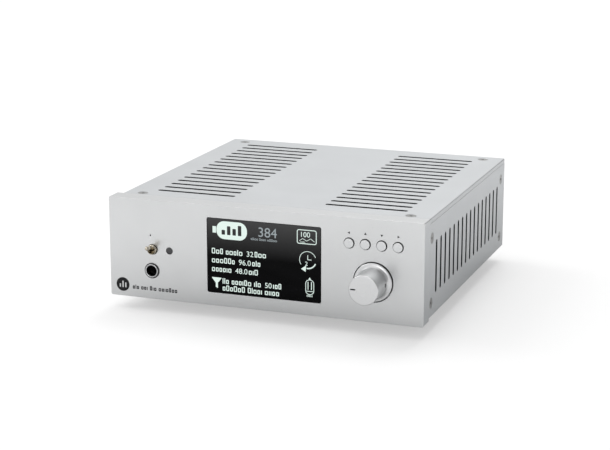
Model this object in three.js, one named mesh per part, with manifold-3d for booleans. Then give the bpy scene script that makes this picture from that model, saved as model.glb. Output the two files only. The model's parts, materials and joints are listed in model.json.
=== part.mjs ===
// Desktop digital-to-analogue converter with a display, a volume knob and a headphone socket.
//
// Millimetres. X runs to the right, Y to the back and Z up. Pieces are placed from the front panel's
// lower left front corner. The outer group then moves the origin to the middle of the footprint.
import * as THREE from "three";
import { mergeVertices } from "three/addons/utils/BufferGeometryUtils.js";
import Module from "manifold-3d";

const wasm = await Module();
wasm.setup();

// ---------------------------------------------------------------- Driving dimensions

const WIDTH = 206; // front panel, end to end
const PANEL_HEIGHT = 64;
const PANEL_DEPTH = 11.5;
const BODY_BACK = 196; // rear face of the body
const BODY_LEFT = 4.6; // the body stands in from the panel's left end and is flush at its right end
const BODY_BOTTOM = 2.4;
const FLOOR = -8;
const KNOB_REACH = 19; // how far the knob stands in front of the panel
const REAR_REACH = 8.5; // how far the longest sockets stand behind the body

const PLATE = 2; // side, bottom and rear plates
const COVER = 3; // top cover
const BOARD = 1.6; // every circuit board
const GAP = 0.3; // between pieces that touch
const PAST = 1; // how far a cutter runs past the face that it opens
const EDGE_RADIUS = 1;
const CHORD_ERROR = 0.1; // how far the flats of a round piece may stand inside its true radius

const BODY_FRONT = PANEL_DEPTH + GAP;
const COVER_BOTTOM = PANEL_HEIGHT - COVER;
const INNER_LEFT = BODY_LEFT + PLATE;
const INNER_RIGHT = WIDTH - PLATE;
const INNER_BACK = BODY_BACK - PLATE;
const FLOOR_TOP = BODY_BOTTOM + PLATE;

// Air slots: where each row starts and how far apart its slots are
const SLOT_WIDTH = 3;
const TOP_SLOTS = { count: 16, lefts: [22.2, 134.9], length: 52.6, front: 26.2, pitch: 10.1 };
const SIDE_SLOTS = { count: 16, low: 15.2, high: 48.2, front: 25.8, pitch: 10 };
const FLOOR_SLOTS = { count: 5, lefts: [56, 118], length: 36, front: 82, pitch: 10.1 };

// Countersunk screws, from the head's face inwards
const SCREW = { head: 3.2, sunk: 0.1, cone: 1.7, shank: 1.5, length: 8, sides: 12 };
const SCREW_CLEARANCE = 0.25;
const HEX_SOCKET = { radius: 0.95, depth: 0.8 };
const TOP_SCREWS = { left: 16.4, right: 192.7, front: 15.9, rear: 187.4 };
const SIDE_SCREWS = { front: 15.8, rear: 185.7, lower: 10.9, upper: 51.4 };

const FEET = { left: 31, right: 179.6, front: 43, rear: 167, radius: 10 };
const POSTS = { left: 21, right: 188.5, front: 20.5, rear: 182.8 }; // the faces towards the middle

// Controls on the front panel: x and z of their middles
const DISPLAY = { x0: 66.8, z0: 8.5, x1: 141, z1: 55.7, corner: 0.8, thickness: 2, ledge: 3.8 };
const SETBACK = 0.1; // of the windows behind the panel's face
const KNOB = { x: 174.35, z: 25.1, radius: 9.2, proud: 0.9, fillet: 2.2, back: 5.2, sides: 40 };
const KNOB_FLANGE = 11.95; // radius
const KNOB_RECESS = { radius: 12.55, depth: 6, sides: 48 };
const KNOB_LINE = { from: 4.8, to: 8.2, width: 0.9, depth: 0.4 };
const SET_SCREW = { hole: 1.2, radius: 0.95, inner: 3.4, outer: 7.7, y: -4.7 };
const SHAFT = { radius: 3, front: -9, back: 15.5 };
const POTENTIOMETER = { half: 10, depth: 9.2, bush: 4.5 };
const BUTTONS = { x: 159, pitch: 10.23, z: 48, radius: 2.95, hole: 3.4, proud: 1 };
const BUTTON_NAMES = ["left", "up", "down", "right"];
const BUTTON_POCKET = { x0: 152, x1: 197, z0: 41, z1: 57, y: 5, corner: 2 };
const BUTTON_FLANGE = { radius: 3.9, thickness: 1 };
const BUTTON_BOARD_Y = 9.4;
const BUTTON_TRAVEL = 0.5;
const TOGGLE = { x: 29.5, z: 32.1, pivot: 1, tilt: 16, bush: 3, bore: 2.25, proud: 2.2, reach: 10.8 };
const JACK = { x: 28.9, z: 18.3, bore: 3.35, half: 6, back: 37 };
const JACK_BEZEL = { radius: 5, sleeve: 4.4, proud: 1.1, back: 4, sides: 24 };
const EYE = { x: 41, z: 32.1, radius: 2.1, back: 9 };
const LED = { x: 28.3, z: 41.15, hole: 0.5, radius: 1.5, front: 3.3 };
const CONTROL_BOARD = { x0: 22.5, x1: 60, z0: 24.9, z1: 57, y: 14 };

// Inside
const MAIN_BOARD = { x0: 9, x1: 201.6, y0: 24, y1: 181.4, z: 9.4 };
const SOCKET_TONGUE = { x0: 24, x1: 185.5, y1: 192.5 }; // the stretch of main board under the sockets
const PILLAR = { radius: 2.5, inset: 6 };
const VALVES = { left: 48.5, right: 161.2, z: 34, radius: 11, tip: 57, base: 105.7, socket: 12, board: 118 };
const VALVE_BOARD = { x0: 30, x1: 180, z1: 56 };

// Rear sockets: x and z of their middles
const LOWER_ROW = 17;
const UPPER_ROW = 42;
const XLR_OUTPUTS = { left: 170, right: 139 };
const XLR_INPUT = 106;
const RCA_OUTPUTS = { left: 170, right: 139 };
const RCA_INPUT = 106;
const OPTICAL_INPUT = 80;
const USB_SOCKET = 56;
const POWER_INLET = 33;
const SOCKET_FRONT = 182; // inner ends of the lower row
const XLR = { width: 26, height: 31, corner: 2.5, flange: 2, barrel: 11.8, front: 176 };
const XLR_CAVITY = { radius: 9.3, floor: 181, insert: 7.2 };
const XLR_PIN = { radius: 1.2, hole: 1.3, circle: 4.9, back: 195.5, holeFloor: 184 };
const RCA = { half: 5.5, sleeve: 4.15, ring: 5.4, ringDepth: 1.5, hole: 1.6, holeFloor: 191 };
const OPTICAL = { half: 5, port: 2.7, portFloor: 187, back: 197 };
const USB = { halfWidth: 6, halfHeight: 5.5, mouth: [4.3, 3.95], tongue: [2.8, 1.6], floor: 186, back: 197 };
const POWER = { half: 5.4, collar: 5.2, bore: 2.9, pin: 1.2, floor: 187, back: 197.3 };
const PIN_SETBACK = 1.5; // of a tongue or pin inside its socket's mouth

// ---------------------------------------------------------------- Finishes

const FINISHES = {
  satinAluminium: { color: 0xc9ccce, roughness: 0.42, metalness: 0.9 },
  steel: { color: 0xb4b6b8, roughness: 0.35, metalness: 1 },
  zincSteel: { color: 0x9a9c9e, roughness: 0.5, metalness: 1 },
  chrome: { color: 0xd9dadb, roughness: 0.08, metalness: 1 },
  nickel: { color: 0xc8bb9c, roughness: 0.18, metalness: 1 },
  blackGlass: { color: 0x07080a, roughness: 0.1, metalness: 0 },
  darkPlastic: { color: 0x17181a, roughness: 0.5, metalness: 0 },
  smokedPlastic: { color: 0x3a3c3e, roughness: 0.25, metalness: 0 },
  circuitBoard: { color: 0x14301f, roughness: 0.5, metalness: 0.1 },
  rubber: { color: 0x202122, roughness: 0.85, metalness: 0 },
  ceramic: { color: 0xe6e1d6, roughness: 0.55, metalness: 0 },
  glass: { color: 0xcfd8dc, roughness: 0.05, metalness: 0 },
  gold: { color: 0xc9a24b, roughness: 0.25, metalness: 1 },
};

// ---------------------------------------------------------------- Outlines

const point = (x, y) => new THREE.Vector2(x, y);
const range = (count) => Array.from({ length: count }, (_, i) => i);

// Points on an arc, with its angles in whole turns.
function arc(x, y, radius, start, end, steps) {
  return range(steps + 1).map((i) => {
    const angle = 2 * Math.PI * (start + ((end - start) * i) / steps);
    return point(x + radius * Math.cos(angle), y + radius * Math.sin(angle));
  });
}

// Enough sides, always an even number, for a circle to keep within the chord error.
function facets(radius) {
  return 2 * Math.ceil(Math.PI / Math.acos(1 - CHORD_ERROR / radius) / 2);
}

function circle(x, y, radius, sides = facets(radius)) {
  return arc(x, y, radius, 0, 1, sides).slice(0, -1);
}

function rectangle(x0, y0, x1, y1) {
  return [point(x0, y0), point(x1, y0), point(x1, y1), point(x0, y1)];
}

function roundedRectangle(x0, y0, x1, y1, radius, steps = 3) {
  const corners = [
    [x1 - radius, y0 + radius, 0.75],
    [x1 - radius, y1 - radius, 0],
    [x0 + radius, y1 - radius, 0.25],
    [x0 + radius, y0 + radius, 0.5],
  ];
  const points = corners.flatMap(([x, y, turn]) => arc(x, y, radius, turn, turn + 0.25, steps));
  return points.filter((p, i) => p.distanceTo(points.at(i - 1)) > 1e-6);
}

// A slot with round ends, as wide as its shorter side.
function slot(x0, y0, x1, y1) {
  return roundedRectangle(x0, y0, x1, y1, Math.min(x1 - x0, y1 - y0) / 2, 2);
}

// Rows of slots that run along X, one row from each left end.
function crosswiseSlots({ count, lefts, length, front, pitch }) {
  return lefts.flatMap((x) =>
    range(count).map((i) => {
      const y = front + i * pitch;
      return slot(x, y - SLOT_WIDTH / 2, x + length, y + SLOT_WIDTH / 2);
    }),
  );
}

// ---------------------------------------------------------------- Solids

const AXES = {
  x: new THREE.Vector3(1, 0, 0),
  y: new THREE.Vector3(0, 1, 0),
  z: new THREE.Vector3(0, 0, 1),
};
const FACING = {
  x: new THREE.Matrix4().makeBasis(AXES.y, AXES.z, AXES.x),
  y: new THREE.Matrix4().makeBasis(AXES.x, AXES.z, AXES.y.clone().negate()),
  z: new THREE.Matrix4(),
};

// An outline extruded along one axis from low to high, and drawn in the other two in their order.
function prism(axis, outline, low, high, holes = []) {
  const shape = new THREE.Shape(outline);
  shape.holes = holes.map((points) => new THREE.Path(points));
  const geometry = new THREE.ExtrudeGeometry(shape, { depth: high - low, bevelEnabled: false });
  const { x, y, z } = AXES[axis].clone().multiplyScalar(axis === "y" ? high : low);
  return geometry.applyMatrix4(FACING[axis]).translate(x, y, z);
}

function box(x0, x1, y0, y1, z0, z1) {
  const geometry = new THREE.BoxGeometry(x1 - x0, y1 - y0, z1 - z0);
  return geometry.translate((x0 + x1) / 2, (y0 + y1) / 2, (z0 + z1) / 2);
}

// Pairs of [radius, y] turned about the Y axis. The pairs run up the outside.
function turned(profile, sides = facets(Math.max(...profile.map(([radius]) => radius)))) {
  return new THREE.LatheGeometry(profile.map(([radius, y]) => point(radius, y)), sides);
}

function cylinder(radius, low, high, sides = facets(radius)) {
  return turned([[0, low], [radius, low], [radius, high], [0, high]], sides);
}

// Turn a piece that was made along Y to run up, down, to the right or to the left.
const POINTED = {
  up: (geometry) => geometry.rotateX(Math.PI / 2),
  down: (geometry) => geometry.rotateX(-Math.PI / 2),
  right: (geometry) => geometry.rotateZ(-Math.PI / 2),
  left: (geometry) => geometry.rotateZ(Math.PI / 2),
};

function toSolid(geometry) {
  const bare = geometry.index ? geometry.toNonIndexed() : geometry.clone();
  bare.deleteAttribute("normal");
  bare.deleteAttribute("uv");
  const merged = mergeVertices(bare, 1e-4);
  const corners = Array.from(merged.index.array);
  const triangles = [];
  for (let i = 0; i < corners.length; i += 3) {
    const [a, b, c] = corners.slice(i, i + 3);
    if (a !== b && b !== c && c !== a) triangles.push(a, b, c);
  }
  const mesh = {
    numProp: 3,
    vertProperties: merged.attributes.position.array,
    triVerts: new Uint32Array(triangles),
  };
  return new wasm.Manifold(new wasm.Mesh(mesh));
}

function toGeometry(solid) {
  const { vertProperties, triVerts } = solid.getMesh();
  const geometry = new THREE.BufferGeometry();
  geometry.setAttribute("position", new THREE.BufferAttribute(vertProperties, 3));
  geometry.setIndex(new THREE.BufferAttribute(triVerts, 1));
  return geometry;
}

// The first geometry with some joined to it, and then others cut out of it.
function shaped(first, { add = [], cut = [] }) {
  let solid = toSolid(first);
  for (const piece of add) solid = solid.add(toSolid(piece));
  for (const piece of cut) solid = solid.subtract(toSolid(piece));
  return toGeometry(solid);
}

const device = new THREE.Group();
device.position.set(-WIDTH / 2, -(BODY_BACK + REAR_REACH - KNOB_REACH) / 2, -FLOOR);

function place(name, finish, geometry, [x, y, z] = [0, 0, 0], parent = device) {
  const mesh = new THREE.Mesh(geometry, new THREE.MeshStandardMaterial(FINISHES[finish]));
  mesh.name = name;
  mesh.position.set(x, y, z);
  parent.add(mesh);
}

// ---------------------------------------------------------------- Screws

// Every screw's name, the middle of its head and the way that it points.
function screwPlaces() {
  const places = [];
  for (const side of ["left", "right"]) {
    const inwards = side === "left" ? "right" : "left";
    const x = side === "left" ? BODY_LEFT : WIDTH;
    for (const end of ["front", "rear"]) {
      places.push({
        name: `top_screw_${end}_${side}`,
        at: [TOP_SCREWS[side], TOP_SCREWS[end], PANEL_HEIGHT],
        pointing: "down",
      });
      for (const level of ["lower", "upper"]) {
        places.push({
          name: `side_screw_${end}_${side}_${level}`,
          at: [x, SIDE_SCREWS[end], SIDE_SCREWS[level]],
          pointing: inwards,
        });
      }
    }
  }
  return places;
}

const SCREW_PLACES = screwPlaces();

function screw() {
  const { head, sunk, cone, shank, length, sides } = SCREW;
  const profile = [
    [0, sunk],
    [head, sunk],
    [shank, sunk + cone],
    [shank, length],
    [0, length],
  ];
  const socket = prism("y", circle(0, 0, HEX_SOCKET.radius, 6), sunk - PAST, sunk + HEX_SOCKET.depth);
  return shaped(turned(profile, sides), { cut: [socket] });
}

// What the screws that point one of the given ways leave in the pieces that they pass through.
function screwHoles(...ways) {
  const { head, sunk, cone, shank, length, sides } = SCREW;
  const profile = [
    [0, -PAST],
    [head + SCREW_CLEARANCE, -PAST],
    [head + SCREW_CLEARANCE, sunk],
    [shank + SCREW_CLEARANCE, sunk + cone],
    [shank + SCREW_CLEARANCE, length + SCREW_CLEARANCE],
    [0, length + SCREW_CLEARANCE],
  ];
  const places = SCREW_PLACES.filter(({ pointing }) => ways.includes(pointing));
  return places.map(({ at, pointing }) => POINTED[pointing](turned(profile, sides)).translate(...at));
}

// ---------------------------------------------------------------- Chassis

// The milled pocket behind the buttons, or what fits in it when there is an inset.
function buttonPocketOutline(inset) {
  const { x0, x1, z0, z1, corner } = BUTTON_POCKET;
  return roundedRectangle(x0 + inset, z0 + inset, x1 - inset, z1 - inset, corner);
}

function frontPanel() {
  const { x0, z0, x1, z1, corner, thickness, ledge } = DISPLAY;
  const window = roundedRectangle(x0 - GAP, z0 - GAP, x1 + GAP, z1 + GAP, corner, 2);
  const opening = rectangle(x0 + ledge, z0 + ledge, x1 - ledge, z1 - ledge);
  const pocket = prism("y", buttonPocketOutline(0), BUTTON_POCKET.y, PANEL_DEPTH + PAST);
  const back = PANEL_DEPTH + PAST;
  const hole = ({ x, z }, radius, low = -PAST, high = back) => cylinder(radius, low, high).translate(x, 0, z);
  const buttonHole = (i) => hole({ x: BUTTONS.x + i * BUTTONS.pitch, z: BUTTONS.z }, BUTTONS.hole);
  const plate = prism("y", roundedRectangle(0, 0, WIDTH, PANEL_HEIGHT, EDGE_RADIUS), 0, PANEL_DEPTH);
  return shaped(plate, {
    cut: [
      prism("y", window, -PAST, SETBACK + thickness + GAP),
      prism("y", opening, 0, back),
      pocket,
      cylinder(KNOB_RECESS.radius, -PAST, KNOB_RECESS.depth, KNOB_RECESS.sides).translate(KNOB.x, 0, KNOB.z),
      hole(KNOB, POTENTIOMETER.bush + GAP),
      hole(TOGGLE, TOGGLE.bush + GAP),
      hole(JACK, JACK_BEZEL.sleeve + GAP),
      hole(EYE, EYE.radius + GAP / 2),
      hole(LED, LED.hole, -PAST, LED.front),
      hole(LED, LED.radius + GAP, LED.front - GAP),
      ...range(BUTTON_NAMES.length).map(buttonHole),
    ],
  });
}

function topCover() {
  const outline = rectangle(BODY_LEFT, BODY_FRONT, WIDTH, BODY_BACK);
  const plate = prism("z", outline, COVER_BOTTOM, PANEL_HEIGHT, crosswiseSlots(TOP_SLOTS));
  return shaped(plate, { cut: screwHoles("down") });
}

function sidePanel(x, inwards) {
  const { count, low, high, front, pitch } = SIDE_SLOTS;
  const slots = range(count).map((i) => {
    const y = front + i * pitch;
    return slot(y - SLOT_WIDTH / 2, low, y + SLOT_WIDTH / 2, high);
  });
  const outline = rectangle(BODY_FRONT, BODY_BOTTOM, BODY_BACK, COVER_BOTTOM - GAP);
  return shaped(prism("x", outline, x, x + PLATE, slots), { cut: screwHoles(inwards) });
}

// The floor carries four pressed-in pillars that the main board stands on.
function bottomPlate() {
  const outline = rectangle(INNER_LEFT + GAP, BODY_FRONT, INNER_RIGHT - GAP, INNER_BACK - GAP);
  const plate = prism("z", outline, BODY_BOTTOM, FLOOR_TOP, crosswiseSlots(FLOOR_SLOTS));
  const { x0, x1, y0, y1, z } = MAIN_BOARD;
  const places = [x0 + PILLAR.inset, x1 - PILLAR.inset].flatMap((x) =>
    [y0 + PILLAR.inset, y1 - PILLAR.inset].map((y) => [x, y, 0]),
  );
  const pillar = () => POINTED.up(cylinder(PILLAR.radius, BODY_BOTTOM + PLATE / 2, z - GAP));
  return shaped(plate, { add: places.map((at) => pillar().translate(...at)) });
}

// A block in a corner of the body that the screws of the cover and of one side go into.
function cornerPost(side, end) {
  const [x0, x1] = side === "left" ? [INNER_LEFT + GAP, POSTS.left] : [POSTS.right, INNER_RIGHT - GAP];
  const [y0, y1] = end === "front" ? [BODY_FRONT, POSTS.front] : [POSTS.rear, INNER_BACK - GAP];
  const block = box(x0, x1, y0, y1, FLOOR_TOP + GAP, COVER_BOTTOM - GAP);
  return shaped(block, { cut: screwHoles("down", side === "left" ? "right" : "left") });
}

function rearPanel() {
  const round = (x, z, radius) => circle(x, z, radius + GAP);
  const square = (x, z, halfWidth, halfHeight) =>
    rectangle(x - halfWidth - GAP, z - halfHeight - GAP, x + halfWidth + GAP, z + halfHeight + GAP);
  const holes = [
    ...[XLR_OUTPUTS.left, XLR_OUTPUTS.right, XLR_INPUT].map((x) => round(x, UPPER_ROW, XLR.barrel)),
    ...[RCA_OUTPUTS.left, RCA_OUTPUTS.right, RCA_INPUT].map((x) => round(x, LOWER_ROW, RCA.sleeve)),
    square(OPTICAL_INPUT, LOWER_ROW, OPTICAL.half, OPTICAL.half),
    square(USB_SOCKET, LOWER_ROW, USB.halfWidth, USB.halfHeight),
    round(POWER_INLET, LOWER_ROW, POWER.collar),
  ];
  const outline = rectangle(INNER_LEFT + GAP, BODY_BOTTOM, INNER_RIGHT - GAP, COVER_BOTTOM - GAP);
  return prism("y", outline, INNER_BACK, BODY_BACK, holes);
}

// A turned foot, narrower towards the top and with a chamfered sole.
function foot() {
  const { radius } = FEET;
  const top = BODY_BOTTOM - GAP;
  const profile = [[0, FLOOR], [radius - 0.6, FLOOR], [radius, FLOOR + 0.6], [radius - 0.8, top], [0, top]];
  return POINTED.up(turned(profile));
}

// ---------------------------------------------------------------- Display

function displayWindow() {
  const { x0, z0, x1, z1, corner, thickness } = DISPLAY;
  return prism("y", roundedRectangle(x0, z0, x1, z1, corner, 2), SETBACK, SETBACK + thickness);
}

// The light-emitting module fills the panel's opening behind the window.
function displayModule() {
  const { x0, z0, x1, z1, ledge, thickness } = DISPLAY;
  const inset = ledge + GAP;
  const front = SETBACK + thickness + GAP;
  return box(x0 + inset, x1 - inset, front, PANEL_DEPTH + GAP, z0 + inset, z1 - inset);
}

function displayBoard() {
  const { x0, z0, x1, z1 } = DISPLAY;
  const front = PANEL_DEPTH + 2 * GAP;
  const margin = 2;
  return box(x0 - margin, x1 + margin, front, front + BOARD, z0 - margin, z1 + margin);
}

// ---------------------------------------------------------------- Volume control

// A cylinder that grows through a hollow fillet into a thin flange. It is bored for its shaft from behind.
function volumeKnob() {
  const { radius, proud, fillet, back } = KNOB;
  const edge = 0.5;
  const bore = SHAFT.radius + GAP;
  const boreEnd = SHAFT.front - GAP;
  const profile = [
    [0, -KNOB_REACH],
    [radius - edge, -KNOB_REACH],
    [radius, edge - KNOB_REACH],
    ...arc(radius + fillet, -proud - fillet, fillet, 0.5, 0.25, 4).map(({ x, y }) => [x, y]),
    [KNOB_FLANGE - proud / 3, -proud],
    [KNOB_FLANGE, (-2 * proud) / 3],
    [KNOB_FLANGE, back],
    [bore, back],
    [bore, boreEnd],
    [0, boreEnd],
  ];
  const { from, to, width, depth } = KNOB_LINE;
  const line = box(-to, -from, -KNOB_REACH - PAST, depth - KNOB_REACH, -width / 2, width / 2);
  const screwHole = POINTED.right(cylinder(SET_SCREW.hole, 0, radius + PAST)).translate(0, SET_SCREW.y, 0);
  return shaped(turned(profile, KNOB.sides), { cut: [line, screwHole] });
}

function setScrew() {
  const { radius, inner, outer } = SET_SCREW;
  const socket = prism("y", circle(0, 0, radius / 2, 6), outer - radius, outer + PAST);
  return POINTED.right(shaped(cylinder(radius, inner, outer), { cut: [socket] }));
}

// A square case with a threaded bush in front, which the shaft turns in.
function potentiometer() {
  const { half, depth, bush } = POTENTIOMETER;
  const front = PANEL_DEPTH + GAP;
  return shaped(box(-half, half, front, front + depth, -half, half), {
    add: [cylinder(bush, KNOB_RECESS.depth + GAP, front + PAST)],
    cut: [cylinder(SHAFT.radius + GAP, 0, SHAFT.back + GAP)],
  });
}

// ---------------------------------------------------------------- Buttons

// A round cap with a flange that keeps it behind the panel.
function button() {
  const { radius, proud } = BUTTONS;
  const shoulder = BUTTON_POCKET.y + GAP;
  const back = shoulder + BUTTON_FLANGE.thickness;
  const edge = 0.3;
  return turned([
    [0, -proud],
    [radius - edge, -proud],
    [radius, edge - proud],
    [radius, shoulder],
    [BUTTON_FLANGE.radius, shoulder],
    [BUTTON_FLANGE.radius, back],
    [0, back],
  ]);
}

// A small board with a press switch behind every button.
function buttonBoard() {
  const plunger = BUTTON_POCKET.y + GAP + BUTTON_FLANGE.thickness + BUTTON_TRAVEL + 0.1;
  const seat = BUTTON_BOARD_Y + GAP;
  const half = 3;
  const switches = range(BUTTON_NAMES.length).flatMap((i) => {
    const pieces = [cylinder(1.2, plunger, seat), box(-half, half, plunger + 0.5, seat, -half, half)];
    return pieces.map((piece) => piece.translate(BUTTONS.x + i * BUTTONS.pitch, 0, BUTTONS.z));
  });
  const plate = prism("y", buttonPocketOutline(GAP), BUTTON_BOARD_Y, BUTTON_BOARD_Y + BOARD);
  return shaped(plate, { add: switches });
}

// ---------------------------------------------------------------- Left-hand controls

// A tapering lever with a round end, along Y with its pivot at the origin.
function toggleLever() {
  const { reach } = TOGGLE;
  return turned([
    [0, -reach],
    [0.75, 0.1 - reach],
    [1.25, 0.5 - reach],
    [1.35, 1.3 - reach],
    [0.9, -1.4],
    [1.1, 0],
    [0.9, 1.2],
    [0, 1.4],
  ]);
}

function toggleSwitch() {
  const { bush, bore, proud } = TOGGLE;
  const front = PANEL_DEPTH + GAP;
  const edge = 0.3;
  const neck = turned([
    [0, -proud],
    [bush - edge, -proud],
    [bush, edge - proud],
    [bush, front + PAST],
    [0, front + PAST],
  ]);
  const cup = cylinder(bore, -proud - PAST, 4);
  return shaped(box(-4, 4, front, front + 9, -5, 5), { add: [neck], cut: [cup] });
}

// The polished ring of the headphone socket, with a sleeve through the panel.
function headphoneBezel() {
  const { radius, sleeve, proud, back, sides } = JACK_BEZEL;
  const seat = -GAP / 2;
  const lip = [JACK.bore, 0.5 - proud];
  const rim = arc(radius - proud / 2, -proud / 2, proud / 2, 0.75, 1, 2).map(({ x, y }) => [x, y]);
  const profile = [
    lip,
    [JACK.bore + 0.5, -proud],
    ...rim,
    [radius, seat],
    [sleeve, seat],
    [sleeve, back],
    [JACK.bore, back],
    lip,
  ];
  return turned(profile, sides);
}

function headphoneJack() {
  const { bore, half, back } = JACK;
  const front = PANEL_DEPTH + GAP;
  return shaped(box(-half, half, front, back, -half, half), {
    add: [cylinder(JACK_BEZEL.sleeve, JACK_BEZEL.back + GAP, front + PAST)],
    cut: [cylinder(bore, 0, back - 3)],
  });
}

function statusLed() {
  const { radius, front } = LED;
  const back = CONTROL_BOARD.y - GAP;
  return turned([[0, front], [0.9, front + 0.15], [radius, front + 1], [radius, back], [0, back]]);
}

// The board behind the toggle, which carries the remote control's receiver.
function controlBoard() {
  const { x0, x1, z0, z1, y } = CONTROL_BOARD;
  const clear = 4 + GAP;
  const opening = rectangle(TOGGLE.x - clear, TOGGLE.z - clear - 1, TOGGLE.x + clear, TOGGLE.z + clear + 1);
  const receiver = box(EYE.x - 2.5, EYE.x + 2.5, y - 2, y + BOARD / 2, EYE.z - 3, EYE.z + 3);
  return shaped(prism("y", rectangle(x0, z0, x1, z1), y, y + BOARD, [opening]), { add: [receiver] });
}

// ---------------------------------------------------------------- Inside

function mainBoard() {
  const { x0, x1, y0, y1, z } = MAIN_BOARD;
  const { x0: left, x1: right, y1: back } = SOCKET_TONGUE;
  const outline = [
    point(x0, y0),
    point(x1, y0),
    point(x1, y1),
    point(right, y1),
    point(right, back),
    point(left, back),
    point(left, y1),
    point(x0, y1),
  ];
  return prism("z", outline, z, z + BOARD);
}

function valveBoard() {
  const { x0, x1, z1 } = VALVE_BOARD;
  return box(x0, x1, VALVES.board, VALVES.board + BOARD, MAIN_BOARD.z + BOARD + GAP, z1);
}

// A stepped ring that the valve's pins plug into.
function valveSocket() {
  const front = VALVES.base + GAP;
  const back = VALVES.board - GAP;
  const step = front + 5;
  const hole = 3;
  const waist = VALVES.socket - 2.5;
  return turned([
    [hole, front],
    [VALVES.socket, front],
    [VALVES.socket, step],
    [waist, step],
    [waist, back],
    [hole, back],
    [hole, front],
  ]);
}

// The glass bulb of a small valve, with its sealed-off tip to the front.
function valve() {
  const { radius, tip, base } = VALVES;
  return turned([
    [0, tip],
    [0.9, tip + 0.5],
    [1.5, tip + 3],
    ...arc(radius - 6, tip + 10, 6, 0.8, 1, 3).map(({ x, y }) => [x, y]),
    [radius, base - 1.2],
    [radius - 0.6, base],
    [0, base],
  ]);
}

// ---------------------------------------------------------------- Rear sockets

// Three places round the middle of an XLR socket.
const xlrContacts = () => arc(0, 0, XLR_PIN.circle, 0.25, 0.25 + 2 / 3, 2);

function xlrFlange() {
  const { width, height, corner, flange } = XLR;
  const front = BODY_BACK + GAP;
  const outline = roundedRectangle(-width / 2, -height / 2, width / 2, height / 2, corner);
  return prism("y", outline, front, front + flange);
}

// An output: a round well with three pins standing in it.
function xlrOutput() {
  const body = cylinder(XLR.barrel, XLR.front, BODY_BACK + 2 * GAP);
  const { radius, floor } = XLR_CAVITY;
  const well = prism(
    "y",
    circle(0, 0, radius),
    floor,
    BODY_BACK + XLR.flange + PAST,
    xlrContacts().map(({ x, y }) => circle(x, y, XLR_PIN.radius)),
  );
  const pinEnds = cylinder(radius - PAST / 2, XLR_PIN.back, BODY_BACK + XLR.flange + PAST);
  return shaped(body, { add: [xlrFlange()], cut: [well, pinEnds] });
}

// An input: a ring-shaped groove round an insert with three holes.
function xlrInput() {
  const body = cylinder(XLR.barrel, XLR.front, BODY_BACK + 2 * GAP);
  const back = BODY_BACK + XLR.flange + PAST;
  const { radius, floor, insert } = XLR_CAVITY;
  const groove = prism("y", circle(0, 0, radius), floor, back, [circle(0, 0, insert)]);
  const contact = () => cylinder(XLR_PIN.hole, XLR_PIN.holeFloor, back);
  return shaped(body, {
    add: [xlrFlange()],
    cut: [groove, ...xlrContacts().map(({ x, y }) => contact().translate(x, 0, y))],
  });
}

// A sleeve with a centre hole, standing on a ring.
function rcaSocket() {
  const { half, sleeve, ring, ringDepth, hole, holeFloor } = RCA;
  const back = BODY_BACK + REAR_REACH;
  const seat = BODY_BACK + GAP;
  return shaped(box(-half, half, SOCKET_FRONT, INNER_BACK - GAP, -half, half), {
    add: [cylinder(sleeve, INNER_BACK - PAST, back), cylinder(ring, seat, seat + ringDepth)],
    cut: [cylinder(hole, holeFloor, back + PAST)],
  });
}

function opticalInput() {
  const { half, port, portFloor, back } = OPTICAL;
  return shaped(box(-half, half, SOCKET_FRONT, back, -half, half), {
    cut: [box(-port, port, portFloor, back + PAST, -port, port)],
  });
}

// A square mouth round a tongue.
function usbSocket() {
  const { halfWidth, halfHeight, mouth, tongue, floor, back } = USB;
  const around = ([x, z]) => rectangle(-x, -z, x, z);
  return shaped(box(-halfWidth, halfWidth, SOCKET_FRONT, back, -halfHeight, halfHeight), {
    cut: [
      prism("y", around(mouth), floor, back + PAST, [around(tongue)]),
      prism("y", around(mouth), back - PIN_SETBACK, back + PAST),
    ],
  });
}

// A round well with a centre pin.
function powerInlet() {
  const { half, collar, bore, pin, floor, back } = POWER;
  return shaped(box(-half, half, SOCKET_FRONT, INNER_BACK - GAP, -half, half), {
    add: [cylinder(collar, INNER_BACK - PAST, back)],
    cut: [
      prism("y", circle(0, 0, bore), floor, back + PAST, [circle(0, 0, pin)]),
      prism("y", circle(0, 0, bore), back - PIN_SETBACK, back + PAST),
    ],
  });
}

// ---------------------------------------------------------------- Assembly

place("front_panel", "satinAluminium", frontPanel());
place("top_cover", "satinAluminium", topCover());
place("side_panel_left", "satinAluminium", sidePanel(BODY_LEFT, "right"));
place("side_panel_right", "satinAluminium", sidePanel(INNER_RIGHT, "left"));
place("bottom_plate", "zincSteel", bottomPlate());
place("rear_panel", "satinAluminium", rearPanel());
for (const side of ["left", "right"]) {
  for (const end of ["front", "rear"]) {
    place(`corner_post_${end}_${side}`, "zincSteel", cornerPost(side, end));
    place(`foot_${end}_${side}`, "rubber", foot(), [FEET[side], FEET[end], 0]);
  }
}
for (const { name, at, pointing } of SCREW_PLACES) place(name, "steel", POINTED[pointing](screw()), at);

place("display_window", "blackGlass", displayWindow());
place("display_module", "darkPlastic", displayModule());
place("display_board", "circuitBoard", displayBoard());

const knobMiddle = [KNOB.x, 0, KNOB.z];
place("volume_knob", "satinAluminium", volumeKnob(), knobMiddle);
place("knob_set_screw", "steel", setScrew(), [KNOB.x, SET_SCREW.y, KNOB.z]);
place("volume_shaft", "steel", cylinder(SHAFT.radius, SHAFT.front, SHAFT.back), knobMiddle);
place("volume_potentiometer", "zincSteel", potentiometer(), knobMiddle);

BUTTON_NAMES.forEach((name, i) => {
  place(`button_${name}`, "satinAluminium", button(), [BUTTONS.x + i * BUTTONS.pitch, 0, BUTTONS.z]);
});
place("button_board", "circuitBoard", buttonBoard());

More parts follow.
